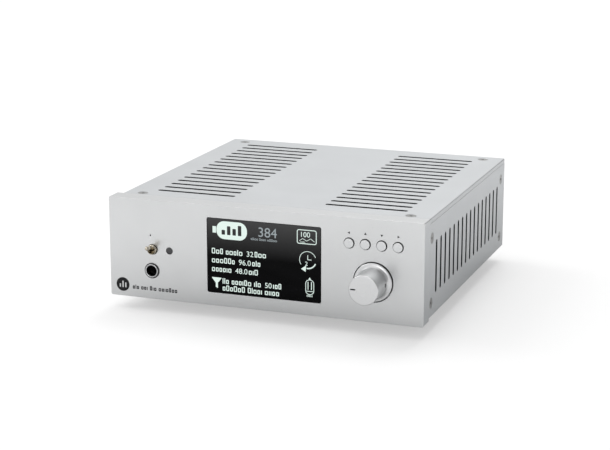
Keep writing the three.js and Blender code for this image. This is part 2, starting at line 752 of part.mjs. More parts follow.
const togglePivot = new THREE.Group();
togglePivot.position.set(TOGGLE.x, TOGGLE.pivot, TOGGLE.z);
togglePivot.rotation.x = THREE.MathUtils.degToRad(-TOGGLE.tilt);
device.add(togglePivot);
place("toggle_lever", "nickel", toggleLever(), [0, 0, 0], togglePivot);
place("toggle_switch", "nickel", toggleSwitch(), [TOGGLE.x, 0, TOGGLE.z]);

place("headphone_bezel", "chrome", headphoneBezel(), [JACK.x, 0, JACK.z]);
place("headphone_jack", "darkPlastic", headphoneJack(), [JACK.x, 0, JACK.z]);
place("ir_window", "smokedPlastic", cylinder(EYE.radius, SETBACK, EYE.back), [EYE.x, 0, EYE.z]);
place("status_led", "smokedPlastic", statusLed(), [LED.x, 0, LED.z]);
place("control_board", "circuitBoard", controlBoard());

place("main_board", "circuitBoard", mainBoard());
place("valve_board", "circuitBoard", valveBoard());
for (const side of ["left", "right"]) {
  place(`valve_socket_${side}`, "ceramic", valveSocket(), [VALVES[side], 0, VALVES.z]);
  place(`valve_${side}`, "glass", valve(), [VALVES[side], 0, VALVES.z]);
  place(`xlr_output_${side}`, "darkPlastic", xlrOutput(), [XLR_OUTPUTS[side], 0, UPPER_ROW]);
  place(`rca_output_${side}`, "gold", rcaSocket(), [RCA_OUTPUTS[side], 0, LOWER_ROW]);
}
place("xlr_input", "darkPlastic", xlrInput(), [XLR_INPUT, 0, UPPER_ROW]);
place("rca_input", "gold", rcaSocket(), [RCA_INPUT, 0, LOWER_ROW]);
place("optical_input", "darkPlastic", opticalInput(), [OPTICAL_INPUT, 0, LOWER_ROW]);
place("usb_socket", "steel", usbSocket(), [USB_SOCKET, 0, LOWER_ROW]);
place("power_inlet", "darkPlastic", powerInlet(), [POWER_INLET, 0, LOWER_ROW]);

const dac = new THREE.Group();
dac.add(device);

export default dac;
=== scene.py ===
"""The looks of a desktop digital-to-analogue converter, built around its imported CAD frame.

Shapes are worked out in millimetres, X to the right, Y to the back and Z up, and stored in metres.
"""
import json
import math
import random
from collections import namedtuple
from functools import cache

import bmesh
import bpy
from mathutils import Matrix, Vector
from mathutils.geometry import tessellate_polygon

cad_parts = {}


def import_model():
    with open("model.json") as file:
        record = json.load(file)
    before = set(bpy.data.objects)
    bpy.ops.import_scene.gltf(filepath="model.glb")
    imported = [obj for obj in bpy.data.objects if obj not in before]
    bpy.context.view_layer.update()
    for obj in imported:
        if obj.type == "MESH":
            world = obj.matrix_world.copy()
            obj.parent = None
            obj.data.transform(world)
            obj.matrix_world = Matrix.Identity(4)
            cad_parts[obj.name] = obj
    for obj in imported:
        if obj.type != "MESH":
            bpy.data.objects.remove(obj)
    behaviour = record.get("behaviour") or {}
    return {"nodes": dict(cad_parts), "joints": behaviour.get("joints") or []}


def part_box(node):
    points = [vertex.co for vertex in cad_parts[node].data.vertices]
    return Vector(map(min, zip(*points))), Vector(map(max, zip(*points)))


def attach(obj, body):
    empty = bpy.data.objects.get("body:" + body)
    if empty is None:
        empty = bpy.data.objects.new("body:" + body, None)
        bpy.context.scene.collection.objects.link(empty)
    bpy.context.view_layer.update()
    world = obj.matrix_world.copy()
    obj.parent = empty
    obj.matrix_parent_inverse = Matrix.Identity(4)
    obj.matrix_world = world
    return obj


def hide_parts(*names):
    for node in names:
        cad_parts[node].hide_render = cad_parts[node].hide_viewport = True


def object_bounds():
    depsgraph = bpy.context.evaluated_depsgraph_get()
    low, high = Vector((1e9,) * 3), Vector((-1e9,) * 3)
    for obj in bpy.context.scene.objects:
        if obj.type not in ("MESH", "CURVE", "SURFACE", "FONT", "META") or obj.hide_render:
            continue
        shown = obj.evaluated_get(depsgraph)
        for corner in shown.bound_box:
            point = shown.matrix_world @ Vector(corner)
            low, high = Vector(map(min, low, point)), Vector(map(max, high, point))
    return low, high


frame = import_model()
CAD_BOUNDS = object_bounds()

# ---------------- Sizes, in millimetres

MM = 0.001
TINY = 1e-3
GAP = 0.3  # between CAD pieces that touch
INK = 0.03  # thickness of printed marks
SMOOTH_UNDER = 32  # degrees between faces
PANEL_CORNER = 1.0
PANEL_EDGE = 0.2
PLATE_CORNER = 0.5
PLATE_EDGE = 0.14
COVER_EDGE = 0.7  # along the sides of the cover
OPENING_CORNER = 0.4
SLOT_EDGE = 0.1
SEAM = 0.09  # between the visible plates

SCREW = {"head": 3.2, "sunk": 0.1, "cone": 1.7, "shank": 1.5, "length": 8, "pitch": 0.5, "thread": 0.22}
SCREW_HEX = {"radius": 0.95, "depth": 0.8}
SCREW_CLEARANCE = 0.25
SCREW_HOLE = SCREW["head"] + SCREW_CLEARANCE
PILLAR = {"radius": 2.6, "inset": 6, "rear_margin": 11, "clearance": 0.05, "head": 1.5}
FLOOR_PLATE = 2  # its thickness

WINDOW_CORNER = 0.8
LEDGE = 3.8  # width of the step that the display window rests on
BUSH_HOLE = 4.8
POCKET = {"depth": 5, "corner": 2}
BUTTON_HOLE = 3.4
TOGGLE_HOLE = 3.3
JACK_HOLE = 4.7
LED_HOLE = {"front": 0.5, "back": 1.8, "depth": 3}
KNOB = {"radius": 9.2, "proud": 0.9, "edge": 0.55, "fillet": 2.2, "bore": 3.3, "bore_end": 9.7}
KNOB_RECESS = 12.55
KNOB_LINE = {"from": 4.8, "to": 8.2, "width": 0.9, "depth": 0.4}
SET_SCREW = {"y": 4.7, "hole": 1.2, "radius": 0.95, "turns": 10, "hex": 0.52, "depth": 0.95}
BUTTON = {"radius": 2.95, "edge": 0.16, "crown": 0.02, "flange": 1}
BUTTON_WAYS = {"left": 0.5, "up": 0.25, "down": 0.75, "right": 0.0}  # where each symbol points, in turns
BUTTON_SYMBOL = {"rise": 6.4, "radius": 0.95}
BUSH = {"radius": 3.0, "bore": 2.4, "cup": 4, "pitch": 0.5}
LEVER = {"reach": 10.8, "ball": 1.35}
JACK_BORE = 3.35
BEZEL = {"washer": 0.65, "proud": 0.4, "sleeve": 0.6}

# Near is painted shade: the floor that lights the object is painted darker near the object, round the given
# centre and stretch.
FLOOR_ALBEDO_AND_PAINTED_SHADE = {"seen": 0.5, "near": 0.5, "far": 0.97, "reach": (95, 265)}  # near and far light the object
FLOOR_CENTRE = (-10, 110, 0)
FLOOR_STRETCH = (1, 1.6, 1)
# A painted glow of the floor, seen only directly, that lightens its shadows.
FLOOR_PAINTED_GLOW = 0.45
FLOOR_CLEARANCE = 0.1  # under the feet

# ---------------- Reading the frame

AXIS = {"x": 0, "y": 1, "z": 2}
Extent = namedtuple("Extent", "low high middle")
FaceLoop = namedtuple("FaceLoop", "u0 v0 u1 v1 corners")


def extent(node):
    """The lowest corner, the highest corner and the middle of a CAD node."""
    low, high = (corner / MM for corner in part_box(node))
    return Extent(low, high, (low + high) / 2)


PANEL_FACE = extent("front_panel").low.y
PANEL_BACK = extent("front_panel").high.y + GAP  # the first free level behind it
REAR_FRONT = extent("rear_panel").low.y - GAP  # the last free level before the rear panel


def face_loops(node, axis, end):
    """The outlines on the flat face at one end (min or max) of a CAD node, the largest first."""
    across = [i for i in range(3) if i != AXIS[axis]]
    mesh = bmesh.new()
    mesh.from_mesh(frame["nodes"][node].data)
    bmesh.ops.remove_doubles(mesh, verts=mesh.verts, dist=2e-6)
    level = end(v.co[AXIS[axis]] for v in mesh.verts)
    flat = {f for f in mesh.faces if all(abs(v.co[AXIS[axis]] - level) < 1e-5 for v in f.verts)}
    borders = {e for e in mesh.edges if sum(f in flat for f in e.link_faces) == 1}
    loops = []
    while borders:
        found = [borders.pop()]
        corners = set()
        for edge in found:
            for vertex in edge.verts:
                corners.add(vertex)
                linked = [e for e in vertex.link_edges if e in borders]
                borders.difference_update(linked)
                found += linked
        u = [v.co[across[0]] / MM for v in corners]
        v = [v.co[across[1]] / MM for v in corners]
        bounds = [round(n, 3) for n in (min(u), min(v), max(u), max(v))]
        loops.append(FaceLoop(*bounds, len(corners)))
    mesh.free()
    return sorted(loops, key=lambda p: (-(p.u1 - p.u0) * (p.v1 - p.v0), p.u0, p.v0))


# ---------------- Outlines and profiles


def rounded(u0, v0, u1, v1, corner, steps=6):
    """A rectangle with round corners: a function from how much larger it is drawn to its points."""
    low_u, high_u, low_v, high_v = u0 + corner, u1 - corner, v0 + corner, v1 - corner
    centres = [(high_u, low_v, 3), (high_u, high_v, 0), (low_u, high_v, 1), (low_u, low_v, 2)]
    spans = [v1 - v0, u1 - u0, v1 - v0, u1 - u0]

    def points(grow=0.0):
        found = []
        for (u, v, quarter), span in zip(centres, spans):
            straight = span - 2 * corner > TINY
            for i in range(steps + 1 if straight else steps):
                angle = math.pi / 2 * (quarter + i / steps)
                radius = corner + grow
                found.append((u + radius * math.cos(angle), v + radius * math.sin(angle)))
        return found

    return points


def front_outline(node, corner, margin=0.0):
    """A CAD node's outline from the front, drawn larger by a margin."""
    low, high, _ = extent(node)
    return rounded(low.x - margin, low.z - margin, high.x + margin, high.z + margin, corner)


def circle(u, v, sides=64, radius=0.0, turn=0.0):
    """A circle, whose radius is drawn larger by the growth."""

    def points(grow=0.0):
        angles = [2 * math.pi * (turn + i / sides) for i in range(sides)]
        size = radius + grow
        return [(u + size * math.cos(a), v + size * math.sin(a)) for a in angles]

    return points


def polygon(*corners):
    return lambda grow=0.0: list(corners)


def loop_outline(loop):
    """The smooth outline that a CAD face's loop stands for: a rectangle, a circle or a slot."""
    width, height = loop.u1 - loop.u0, loop.v1 - loop.v0
    if is_round(loop):
        return circle((loop.u0 + loop.u1) / 2, (loop.v0 + loop.v1) / 2, radius=max(width, height) / 2)
    corner = OPENING_CORNER if loop.corners == 4 else min(width, height) / 2
    return rounded(loop.u0, loop.v0, loop.u1, loop.v1, corner)


def is_round(loop):
    width, height = loop.u1 - loop.u0, loop.v1 - loop.v0
    return loop.corners > 4 and abs(width - height) < 0.2 * max(width, height)


def rim(front, back, edge, side=-1, steps=4):
    """A straight wall with rounded edges, as (growth, level) pairs, round a piece or (side 1) a hole."""
    way = 1 if back > front else -1
    angles = [math.pi / 2 * i / steps for i in range(steps + 1)]
    near = [(side * edge * (1 - math.sin(a)), front + way * edge * (1 - math.cos(a))) for a in angles]
    far = [(side * edge * (1 - math.cos(a)), back - way * edge * (1 - math.sin(a))) for a in angles]
    return near + far


def arc(radius, level, size, start, end, steps=6):
    """(radius, level) pairs on an arc about a point, with its angles in degrees."""
    angles = [math.radians(start + (end - start) * i / steps) for i in range(steps + 1)]
    return [(radius + size * math.cos(a), level + size * math.sin(a)) for a in angles]


def from_end(profile, level, way):
    """A profile of (radius, depth) pairs as levels along an axis."""
    return [(radius, level + way * depth) for radius, depth in profile]


# ---------------- Shells


class Shell:
    """A mesh in the making: rings of points, the walls between them and the flat faces inside them."""

    def __init__(self, finish=None):
        self.points = []
        self.faces = []
        self.finishes = [finish]
        self.face_finish = []
        self.current = 0

    def use(self, finish):
        """Give the faces that follow this finish. None is the piece's own."""
        if finish not in self.finishes:
            self.finishes.append(finish)
        self.current = self.finishes.index(finish)

    def add_face(self, corners):
        self.faces.append(tuple(corners))
        self.face_finish.append(self.current)

    def ring(self, axis, outline, grow, level):
        start = len(self.points)
        for pair in outline(grow):
            point = list(pair)
            point.insert(AXIS[axis], level)
            self.points.append(Vector(point))
        return list(range(start, len(self.points)))

    def sweep(self, axis, outline, profile):
        """Walls along (growth, level) pairs. Gives back the first ring and the last."""
        rings = [self.ring(axis, outline, grow, level) for grow, level in profile]
        for near, far in zip(rings, rings[1:]):
            for i in range(len(near)):
                self.add_face((near[i - 1], near[i], far[i], far[i - 1]))
        return rings[0], rings[-1]

    def walls(self, node, corner, start, end, edge, steps=4):
        """Walls with rounded edges along a CAD node's outline from the front."""
        return self.sweep("y", front_outline(node, corner), rim(start, end, edge, steps=steps))

    def body(self, node, corner, end, edge):
        """Walls from a CAD node's front to a level, closed in front. Gives back the last ring."""
        front, back = self.walls(node, corner, extent(node).low.y, end, edge)
        self.flat(front)
        return back

    def flat(self, outer, *holes):
        """A flat face inside a ring, with other rings as its holes."""
        loops = [outer, *holes]
        corners = [i for loop in loops for i in loop]
        for triangle in tessellate_polygon([[self.points[i] for i in loop] for loop in loops]):
            self.add_face(corners[i] for i in triangle)

    def solid(self, axis, outline, profile):
        """A closed piece: walls along a profile with a flat face at each end."""
        for end in self.sweep(axis, outline, profile):
            if len({tuple(self.points[i]) for i in end}) > 2:
                self.flat(end)

    def turned(self, axis, u, v, profile, sides=64):
        """A closed piece turned about an axis, from (radius, level) pairs."""
        self.solid(axis, circle(u, v, sides), profile)

    def rod(self, u, v, radius, start, end, edge=0.2, sides=32):
        """A round rod from front to back, with broken edges."""
        profile = [(0, start), (radius - edge, start), (radius, start + edge)]
        self.turned("y", u, v, profile + [(radius, end - edge), (radius - edge, end), (0, end)], sides)

    def hexagon(self, face, axis, u, v, profile):
        """A blind hexagon socket in a flat face, whose outer ring is given."""
        mouth, base = self.sweep(axis, circle(u, v, 6), profile)
        self.flat(face, mouth)
        self.flat(base)

    def block(self, low, high, edge=0.2):
        """A box with rounded edges."""
        outline = rounded(low[0], low[1], high[0], high[1], edge + 0.05, steps=2)
        self.solid("z", outline, rim(low[2], high[2], edge, steps=2))

    def refinish(self, finish, chosen):
        """Give another finish to the faces whose corners are all chosen."""
        self.use(finish)
        for i, face in enumerate(self.faces):
            if all(chosen(self.points[corner]) for corner in face):
                self.face_finish[i] = self.current
        self.use(None)

    def turn(self, matrix, start=0):
        """Move the points made since a start."""
        self.points[start:] = [matrix @ point for point in self.points[start:]]

    def mesh(self, name):
        mesh = bpy.data.meshes.new(name)
        mesh.from_pydata([point * MM for point in self.points], [], self.faces)
        mesh.polygons.foreach_set("material_index", self.face_finish)
        work = bmesh.new()
        work.from_mesh(mesh)
        bmesh.ops.remove_doubles(work, verts=work.verts, dist=2e-7)
        bmesh.ops.dissolve_degenerate(work, dist=1e-8, edges=work.edges)
        bmesh.ops.recalc_face_normals(work, faces=work.faces)
        work.to_mesh(mesh)
        work.free()
        return mesh


def new_object(name, data):
    made = bpy.data.objects.new(name, data)
    bpy.context.scene.collection.objects.link(made)
    return made


def final_mesh(source):
    """The mesh that an object comes to with its modifiers. The object itself goes."""
    bpy.context.view_layer.update()
    mesh = bpy.data.meshes.new_from_object(source.evaluated_get(bpy.context.evaluated_depsgraph_get()))
    bpy.data.objects.remove(source)
    return mesh


def carve(mesh, cutter_mesh):
    """The mesh with another cut out of it."""
    body = new_object("carved", mesh)
    cutter = new_object("cutter", cutter_mesh)
    modifier = body.modifiers.new("cut", "BOOLEAN")
    modifier.object = cutter
    modifier.solver = "EXACT"
    carved = final_mesh(body)
    bpy.data.objects.remove(cutter)
    return carved


def add_piece(name, shape, slot, body="chassis", replaced=()):
    """Put a shell or a finished mesh into the scene as one piece that moves with a CAD body."""
    mesh = shape
    finishes = [None]
    if isinstance(shape, Shell):
        mesh = shape.mesh(name)
        finishes = shape.finishes
    for finish in finishes:
        mesh.materials.append(material(finish or slot))
    mesh.shade_smooth()
    mesh.set_sharp_from_angle(angle=math.radians(SMOOTH_UNDER))
    piece = new_object(name, mesh)
    weighted = piece.modifiers.new("flat faces stay flat", "WEIGHTED_NORMAL")
    weighted.mode = "FACE_AREA"
    weighted.weight = 100
    weighted.keep_sharp = True
    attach(piece, body)
    if replaced:
        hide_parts(*replaced)


def refine(node, shape, slot, body="chassis"):
    """Put a piece in the place of a CAD node."""
    add_piece(f"fine_{node}", shape, slot, body, [node])


def refine_turned(node, profile, slot, sides, body="chassis", finish=None):
    """Put a piece turned about its axis from front to back in the place of a CAD node."""
    shell = Shell(finish)
    shell.turned("y", *extent(node).middle.xz, profile, sides)
    refine(node, shell, slot, body)


# ---------------- Materials


def add_node(tree, kind, inputs=None, **settings):
    """A new shader node, whose inputs are values or are linked from other sockets."""
    node = tree.nodes.new(kind)
    for name, value in settings.items():
        setattr(node, name, value)
    for name, value in (inputs or {}).items():
        if isinstance(value, bpy.types.NodeSocket):
            tree.links.new(value, node.inputs[name])
        else:
            node.inputs[name].default_value = value
    return node


class Surface:
    """A procedural material whose textures lie in the frame's millimetres."""

    def __init__(self, name, **values):
        self.material = bpy.data.materials.new(name)
        self.material.use_nodes = True
        self.tree = self.material.node_tree
        self.shader = self.tree.nodes["Principled BSDF"]
        for socket, value in values.items():
            self.shader.inputs[socket.replace("_", " ")].default_value = value
        place = self.node("ShaderNodeTexCoord").outputs["Object"]
        self.place = self.vector("SCALE", {0: place, "Scale": 1 / MM})

    def node(self, kind, inputs=None, **settings):
        return add_node(self.tree, kind, inputs, **settings)

    def vector(self, operation, inputs, output="Vector"):
        return self.node("ShaderNodeVectorMath", inputs, operation=operation).outputs[output]

    def link(self, source, socket):
        """Feed one of the shader's own sockets."""
        self.tree.links.new(source, self.shader.inputs[socket])

    def stretched(self, *sizes):
        """Coordinates in which a texture's features are this many millimetres along each axis."""
        return self.vector("MULTIPLY", {0: self.place, 1: [1 / size for size in sizes]})

    def noise(self, size, detail=3.0, roughness=0.55):
        """Noise with features of one size, or of three along the axes."""
        sizes = size if isinstance(size, tuple) else (size, size, size)
        inputs = {"Scale": 1, "Detail": detail, "Roughness": roughness, "Vector": self.stretched(*sizes)}
        return self.node("ShaderNodeTexNoise", inputs).outputs["Fac"]

    def cells(self, size):
        inputs = {"Scale": 1, "Vector": self.stretched(size, size, size)}
        return self.node("ShaderNodeTexVoronoi", inputs).outputs["Distance"]

    def rings(self, centre, size):
        """Fine turned grooves about an axis from front to back through a point."""
        offset = self.vector("SUBTRACT", {0: self.place, 1: centre})
        across = self.vector("MULTIPLY", {0: offset, 1: (1 / size, 0, 1 / size)})
        distance = self.vector("LENGTH", {0: across}, "Value")
        noise = self.node("ShaderNodeTexNoise", {"Scale": 1}, noise_dimensions="1D")
        self.tree.links.new(distance, noise.inputs["W"])
        return noise.outputs["Fac"]

    def edges(self, width=0.5):
        """1 along the edges of the piece, 0 on its flats."""
        bevel = self.node("ShaderNodeBevel", {"Radius": width * MM}, samples=6).outputs["Normal"]
        flat = self.node("ShaderNodeNewGeometry").outputs["Normal"]
        return self.between(self.vector("DOT_PRODUCT", {0: bevel, 1: flat}, "Value"), 1, 0, 0.9, 0.999)

    def between(self, value, low, high, start=0.3, end=0.7):
        """A value that goes from start to end, carried over to low and high."""
        inputs = {"Value": value, "From Min": start, "From Max": end, "To Min": low, "To Max": high}
        return self.node("ShaderNodeMapRange", inputs).outputs["Result"]

    def blend(self, value, first, second):
        """A colour from the first to the second as the value goes from 0 to 1."""
        first, second = (c if isinstance(c, bpy.types.NodeSocket) else (*c, 1) for c in (first, second))
        return self.node("ShaderNodeMix", {"Factor": value, 6: first, 7: second}, data_type="RGBA").outputs[2]

    def mottle(self, texture, first, second):
        """A colour that wanders between two with a texture."""
        return self.blend(self.between(texture, 0, 1), first, second)

    def colour(self, source):
        self.link(source, "Base Color")

    def roughness(self, texture, low, high):
        self.link(self.between(texture, low, high), "Roughness")

    def bump(self, *heights):
        """Relief from (height, depth in millimetres) pairs, one on top of the other."""
        below = {}
        for height, depth in heights:
            inputs = {"Strength": 1, "Distance": depth * MM, "Height": height, **below}
            below = {"Normal": self.node("ShaderNodeBump", inputs).outputs["Normal"]}
        self.link(below["Normal"], "Normal")


def shade(colour, factor):
    return tuple(min(1, channel * factor) for channel in colour)


def anodised(name, colour, base_roughness, grain=0.16):
    """Bead-blasted aluminium: a fine even grain, faint clouds, and edges a little brighter: a little wear and
    a painted highlight.
    """
    surface = Surface(name, Metallic=1.0)
    fine = surface.noise(grain, detail=2)
    wear_and_painted_highlight = surface.edges()
    body = surface.mottle(surface.noise(38, detail=2), shade(colour, 0.97), shade(colour, 1.02))
    speckled = surface.blend(surface.between(fine, 0, 0.25), body, shade(colour, 0.86))
    # Brighter along the edges: a little wear and a painted highlight.
    surface.colour(surface.blend(surface.between(wear_and_painted_highlight, 0, 0.5, 0, 1), speckled, shade(colour, 1.1)))
    surface.roughness(fine, base_roughness, base_roughness + 0.1)
    surface.bump((fine, 0.004), (surface.noise(0.6, detail=2), 0.003))
    return surface.material


def painted_shade_slot_wall():
    """The walls of the slots: dull, and painted near black, far darker than the faces: painted shade for the
    slots' depths.
    """
    surface = Surface("slot_wall_painted_shade", Specular_IOR_Level=0.03)
    streaks = surface.noise(0.25, detail=3)
    surface.colour(surface.mottle(streaks, (0.014, 0.015, 0.016), (0.026, 0.027, 0.029)))
    surface.roughness(streaks, 0.55, 0.75)
    surface.bump((streaks, 0.01))
    return surface.material


def turned_aluminium():
    """Turned aluminium: rings about the knob's axis under the anodising."""
    colour = (0.67, 0.675, 0.68)
    surface = Surface("knob_turned_aluminium", Metallic=1.0)
    turned = surface.rings(extent("volume_shaft").middle, 0.12)
    body = surface.mottle(turned, shade(colour, 0.93), shade(colour, 1.03))
    # Brighter along the edges: a little wear and a painted highlight.
    wear_and_painted_highlight = surface.between(surface.edges(0.4), 0, 0.6, 0, 1)
    surface.colour(surface.blend(wear_and_painted_highlight, body, shade(colour, 1.15)))
    surface.roughness(turned, 0.27, 0.38)
    surface.bump((turned, 0.0035), (surface.noise(0.2, detail=2), 0.002))
    return surface.material


def steel(name, colour, roughness, streak):
    """Rolled or turned steel with streaks along one way and a few scuffs."""
    surface = Surface(name, Metallic=1.0)
    streaks = surface.noise(streak, detail=3)
    scuffs = surface.noise(2.5, detail=5, roughness=0.7)
    surface.colour(surface.mottle(scuffs, shade(colour, 0.86), shade(colour, 1.06)))
    surface.roughness(streaks, roughness, roughness + 0.16)
    surface.bump((streaks, 0.003))
    return surface.material


def polished(name, colour, roughness):
    """Plated metal with faint polishing haze."""
    surface = Surface(name, Metallic=1.0)
    haze = surface.noise(1.2, detail=4)
    surface.colour(surface.mottle(haze, shade(colour, 0.95), shade(colour, 1.03)))
    surface.roughness(haze, roughness, roughness + 0.07)
    surface.bump((surface.noise(0.35), 0.0008))
    return surface.material


def black_glass():
    """The display's window: black gloss with faint cleaning marks, greyer towards its top: a painted
    reflection.
    """
    surface = Surface("display_black_gloss", IOR=1.5, Specular_IOR_Level=0.05)
    smears = surface.noise((24, 24, 7), detail=4)
    _, high, at = extent("display_window")
    height = surface.node("ShaderNodeSeparateXYZ", {0: surface.place}).outputs["Z"]
    dark = surface.mottle(smears, (0.001, 0.001, 0.0012), (0.0025, 0.0025, 0.003))
    # Grey towards the window's top: a painted reflection.
    surface.colour(surface.blend(surface.between(height, 0, 1, at.z, high.z), dark, (0.062, 0.062, 0.063)))
    surface.roughness(smears, 0.12, 0.2)
    surface.bump((surface.noise(9, detail=1), 0.003))
    return surface.material


def lit_cells(name, strength, glows, greys):
    """Lit cells of the display, slightly uneven."""
    surface = Surface(name, Roughness=0.4, Emission_Strength=strength)
    cells = surface.noise(0.28, detail=1)
    surface.link(surface.mottle(cells, *glows), "Emission Color")
    surface.colour(surface.mottle(cells, *greys))
    return surface.material


def moulded(name, colour, roughness, grain=0.35, depth=0.012, coat=0.0):
    """Moulded plastic: a spark-eroded grain and dust caught in it."""
    surface = Surface(name, Coat_Weight=coat)
    dust = surface.noise(6, detail=5, roughness=0.7)
    light = tuple(channel * 1.15 + 0.004 for channel in colour)
    surface.colour(surface.mottle(dust, shade(colour, 0.9), light))
    surface.roughness(dust, roughness - 0.05, roughness + 0.09)
    surface.bump((surface.cells(grain), depth))
    return surface.material


def printed_ink():
    """Pad-printed dark ink: matt, with slightly starved patches."""
    surface = Surface("printed_dark_ink", Specular_IOR_Level=0.2)
    patches = surface.noise(0.5, detail=4)
    surface.colour(surface.mottle(patches, (0.006, 0.006, 0.007), (0.014, 0.014, 0.016)))
    surface.roughness(patches, 0.4, 0.6)
    surface.bump((patches, 0.002))
    return surface.material


def solder_mask():
    """Solder mask with buried copper tracks showing as a paler pattern."""
    surface = Surface("circuit_board_mask", Coat_Weight=0.35, Coat_Roughness=0.2)
    tracks = {"Scale": 1, "Mortar Size": 0.09, "Brick Width": 2.6, "Row Height": 0.8}
    tracks["Vector"] = surface.stretched(2.2, 2.2, 2.2)
    brick = surface.node("ShaderNodeTexBrick", tracks, offset=0.37, squash=1.6).outputs["Fac"]
    speckle = surface.noise(1.4, detail=4)
    mask = surface.mottle(speckle, (0.012, 0.07, 0.034), (0.02, 0.10, 0.05))
    surface.colour(surface.blend(brick, mask, (0.05, 0.17, 0.08)))
    surface.roughness(speckle, 0.3, 0.45)
    surface.bump((brick, 0.03), (speckle, 0.01))
    return surface.material


def clear_glass():
    """Clear glass, with a breath of haze."""
    surface = Surface("valve_clear_glass", IOR=1.5, Transmission_Weight=1.0)
    haze = surface.noise(8, detail=3)
    surface.colour(surface.mottle(haze, (0.90, 0.93, 0.94), (0.97, 0.98, 0.98)))
    surface.roughness(haze, 0.02, 0.08)
    surface.bump((surface.noise(4, detail=1), 0.01))
    return surface.material


def floor_with_painted_shade_and_glow():
    """A white table. Seen directly it glows faintly: a painted glow, with no lamp under it, that lightens the
    shadows on it. To the object it is painted darker near the object: painted shade.
    """
    surface = Surface("studio_floor", Emission_Strength=FLOOR_PAINTED_GLOW)
    surface.shader.inputs["Emission Color"].default_value = (1, 1, 1, 1)
    cloud = surface.noise(900, detail=2)
    seen, near, far, reach = FLOOR_ALBEDO_AND_PAINTED_SHADE.values()
    surface.colour(surface.mottle(cloud, (seen - 0.01,) * 3, (seen + 0.01,) * 3))
    surface.roughness(cloud, 0.75, 0.85)
    centre = [place / stretch for place, stretch in zip(FLOOR_CENTRE, FLOOR_STRETCH)]
    distance = surface.vector("DISTANCE", {0: surface.stretched(*FLOOR_STRETCH), 1: centre}, "Value")
    # Painted darker near the object: painted shade, which the case reflects.
    painted_shade_near_object = surface.blend(surface.between(distance, 0, 1, *reach), (near,) * 3, (far,) * 3)
    plain = surface.node("ShaderNodeBsdfDiffuse", {"Color": painted_shade_near_object}).outputs[0]
    # Seen directly, the floor has a painted glow that lightens its shadows.
    seen_directly = surface.node("ShaderNodeLightPath").outputs["Is Camera Ray"]
    mixed = surface.node("ShaderNodeMixShader", {0: seen_directly, 1: plain, 2: surface.shader.outputs[0]})
    surface.tree.links.new(mixed.outputs[0], surface.tree.nodes["Material Output"].inputs["Surface"])
    return surface.material


# What makes each finish, and with what values
FINISHES = {
    # Colour, roughness and size of the grain
    "front_panel": (anodised, "front_panel_anodised", (0.645, 0.653, 0.657), 0.27),
    # The case's colour is the front panel's aluminium made darker: painted shade on the cover, the sides, the
    # rear panel and the front panel's ends.
    "case_panel": (anodised, "case_panel_anodised", (0.565, 0.58, 0.592), 0.4, 0.2),
    "button_aluminium": (anodised, "button_anodised", (0.66, 0.67, 0.675), 0.3, 0.14),
    # Colour, roughness and size of the streaks along each axis
    "screw_steel": (steel, "screw_bright_steel", (0.31, 0.31, 0.305), 0.3, (0.3, 0.3, 0.3)),
    "inner_steel": (steel, "zinc_plated_steel", (0.52, 0.53, 0.54), 0.34, (0.4, 6, 0.4)),
    # Colour and roughness
    "polished_chrome": (polished, "polished_chrome_plate", (0.50, 0.505, 0.515), 0.05),
    "toggle_nickel": (polished, "warm_nickel_plate", (0.56, 0.51, 0.42), 0.08),
    "contact_gold": (polished, "gold_plate", (0.83, 0.60, 0.23), 0.14),
    "copper": (polished, "enamelled_copper", (0.72, 0.30, 0.12), 0.25),
    # Colour, roughness, size and depth of the grain, and clear coat
    "dark_plastic": (moulded, "black_moulded_plastic", (0.022, 0.022, 0.024), 0.42),
    "red_plastic": (moulded, "red_moulded_plastic", (0.55, 0.025, 0.02), 0.35),
    "white_plastic": (moulded, "white_moulded_plastic", (0.72, 0.72, 0.70), 0.35),
    "smoked_plastic": (moulded, "smoked_plastic", (0.03, 0.031, 0.034), 0.2, 0.35, 0.001, 0.2),
    "led": (moulded, "unlit_led", (0.035, 0.04, 0.045), 0.15, 0.35, 0.001, 0.5),
    "foot_rubber": (moulded, "foot_rubber", (0.028, 0.028, 0.03), 0.72, 0.25, 0.02),
    "valve_ceramic": (moulded, "unglazed_ceramic", (0.78, 0.75, 0.68), 0.6, 0.2, 0.008),
    "sleeve": (moulded, "capacitor_sleeve", (0.02, 0.03, 0.09), 0.3, 0.8, 0.004),
    "film_capacitor": (moulded, "film_capacitor_case", (0.5, 0.09, 0.03), 0.32, 0.6, 0.006),
    # Strength and the ranges of the glow and of the colour: cool green-white, and a dimmer cool grey
    "display_light": (
        lit_cells,
        "display_lit_cells",
        0.82,
        ((0.70, 0.86, 0.79), (0.88, 1.0, 0.95)),
        ((0.10, 0.12, 0.11), (0.14, 0.16, 0.15)),
    ),
    "display_grey": (
        lit_cells,
        "display_dim_cells",
        0.34,
        ((0.52, 0.62, 0.66), (0.82, 0.92, 0.98)),
        ((0.06, 0.07, 0.07), (0.1, 0.11, 0.11)),
    ),
    "display_glass": (black_glass,),
    # Near-black slot walls: painted shade.
    "slot_wall_painted_shade_finish": (painted_shade_slot_wall,),
    "knob_aluminium": (turned_aluminium,),
    "ink": (printed_ink,),
    "circuit_board": (solder_mask,),
    "valve_glass": (clear_glass,),
    "floor": (floor_with_painted_shade_and_glow,),
}


@cache
def material(finish):
    """A finish's material, made when it is first asked for."""
    maker, *values = FINISHES[finish]
    return maker(*values)


# ---------------- Case


def broken_edge(radius, edge):
    """The quarter-round mouth of a hole, from the face that it is in."""
    return arc(radius + edge, edge, edge, 270, 180, steps=3)


def bore(shell, node, radius, *steps, edge=0.15):
    """A hole in the front panel about a node's middle, in steps behind its mouth."""
    profile = from_end(broken_edge(radius, edge) + list(steps), PANEL_FACE, 1)
    return shell.sweep("y", circle(*extent(node).middle.xz, 72), profile)


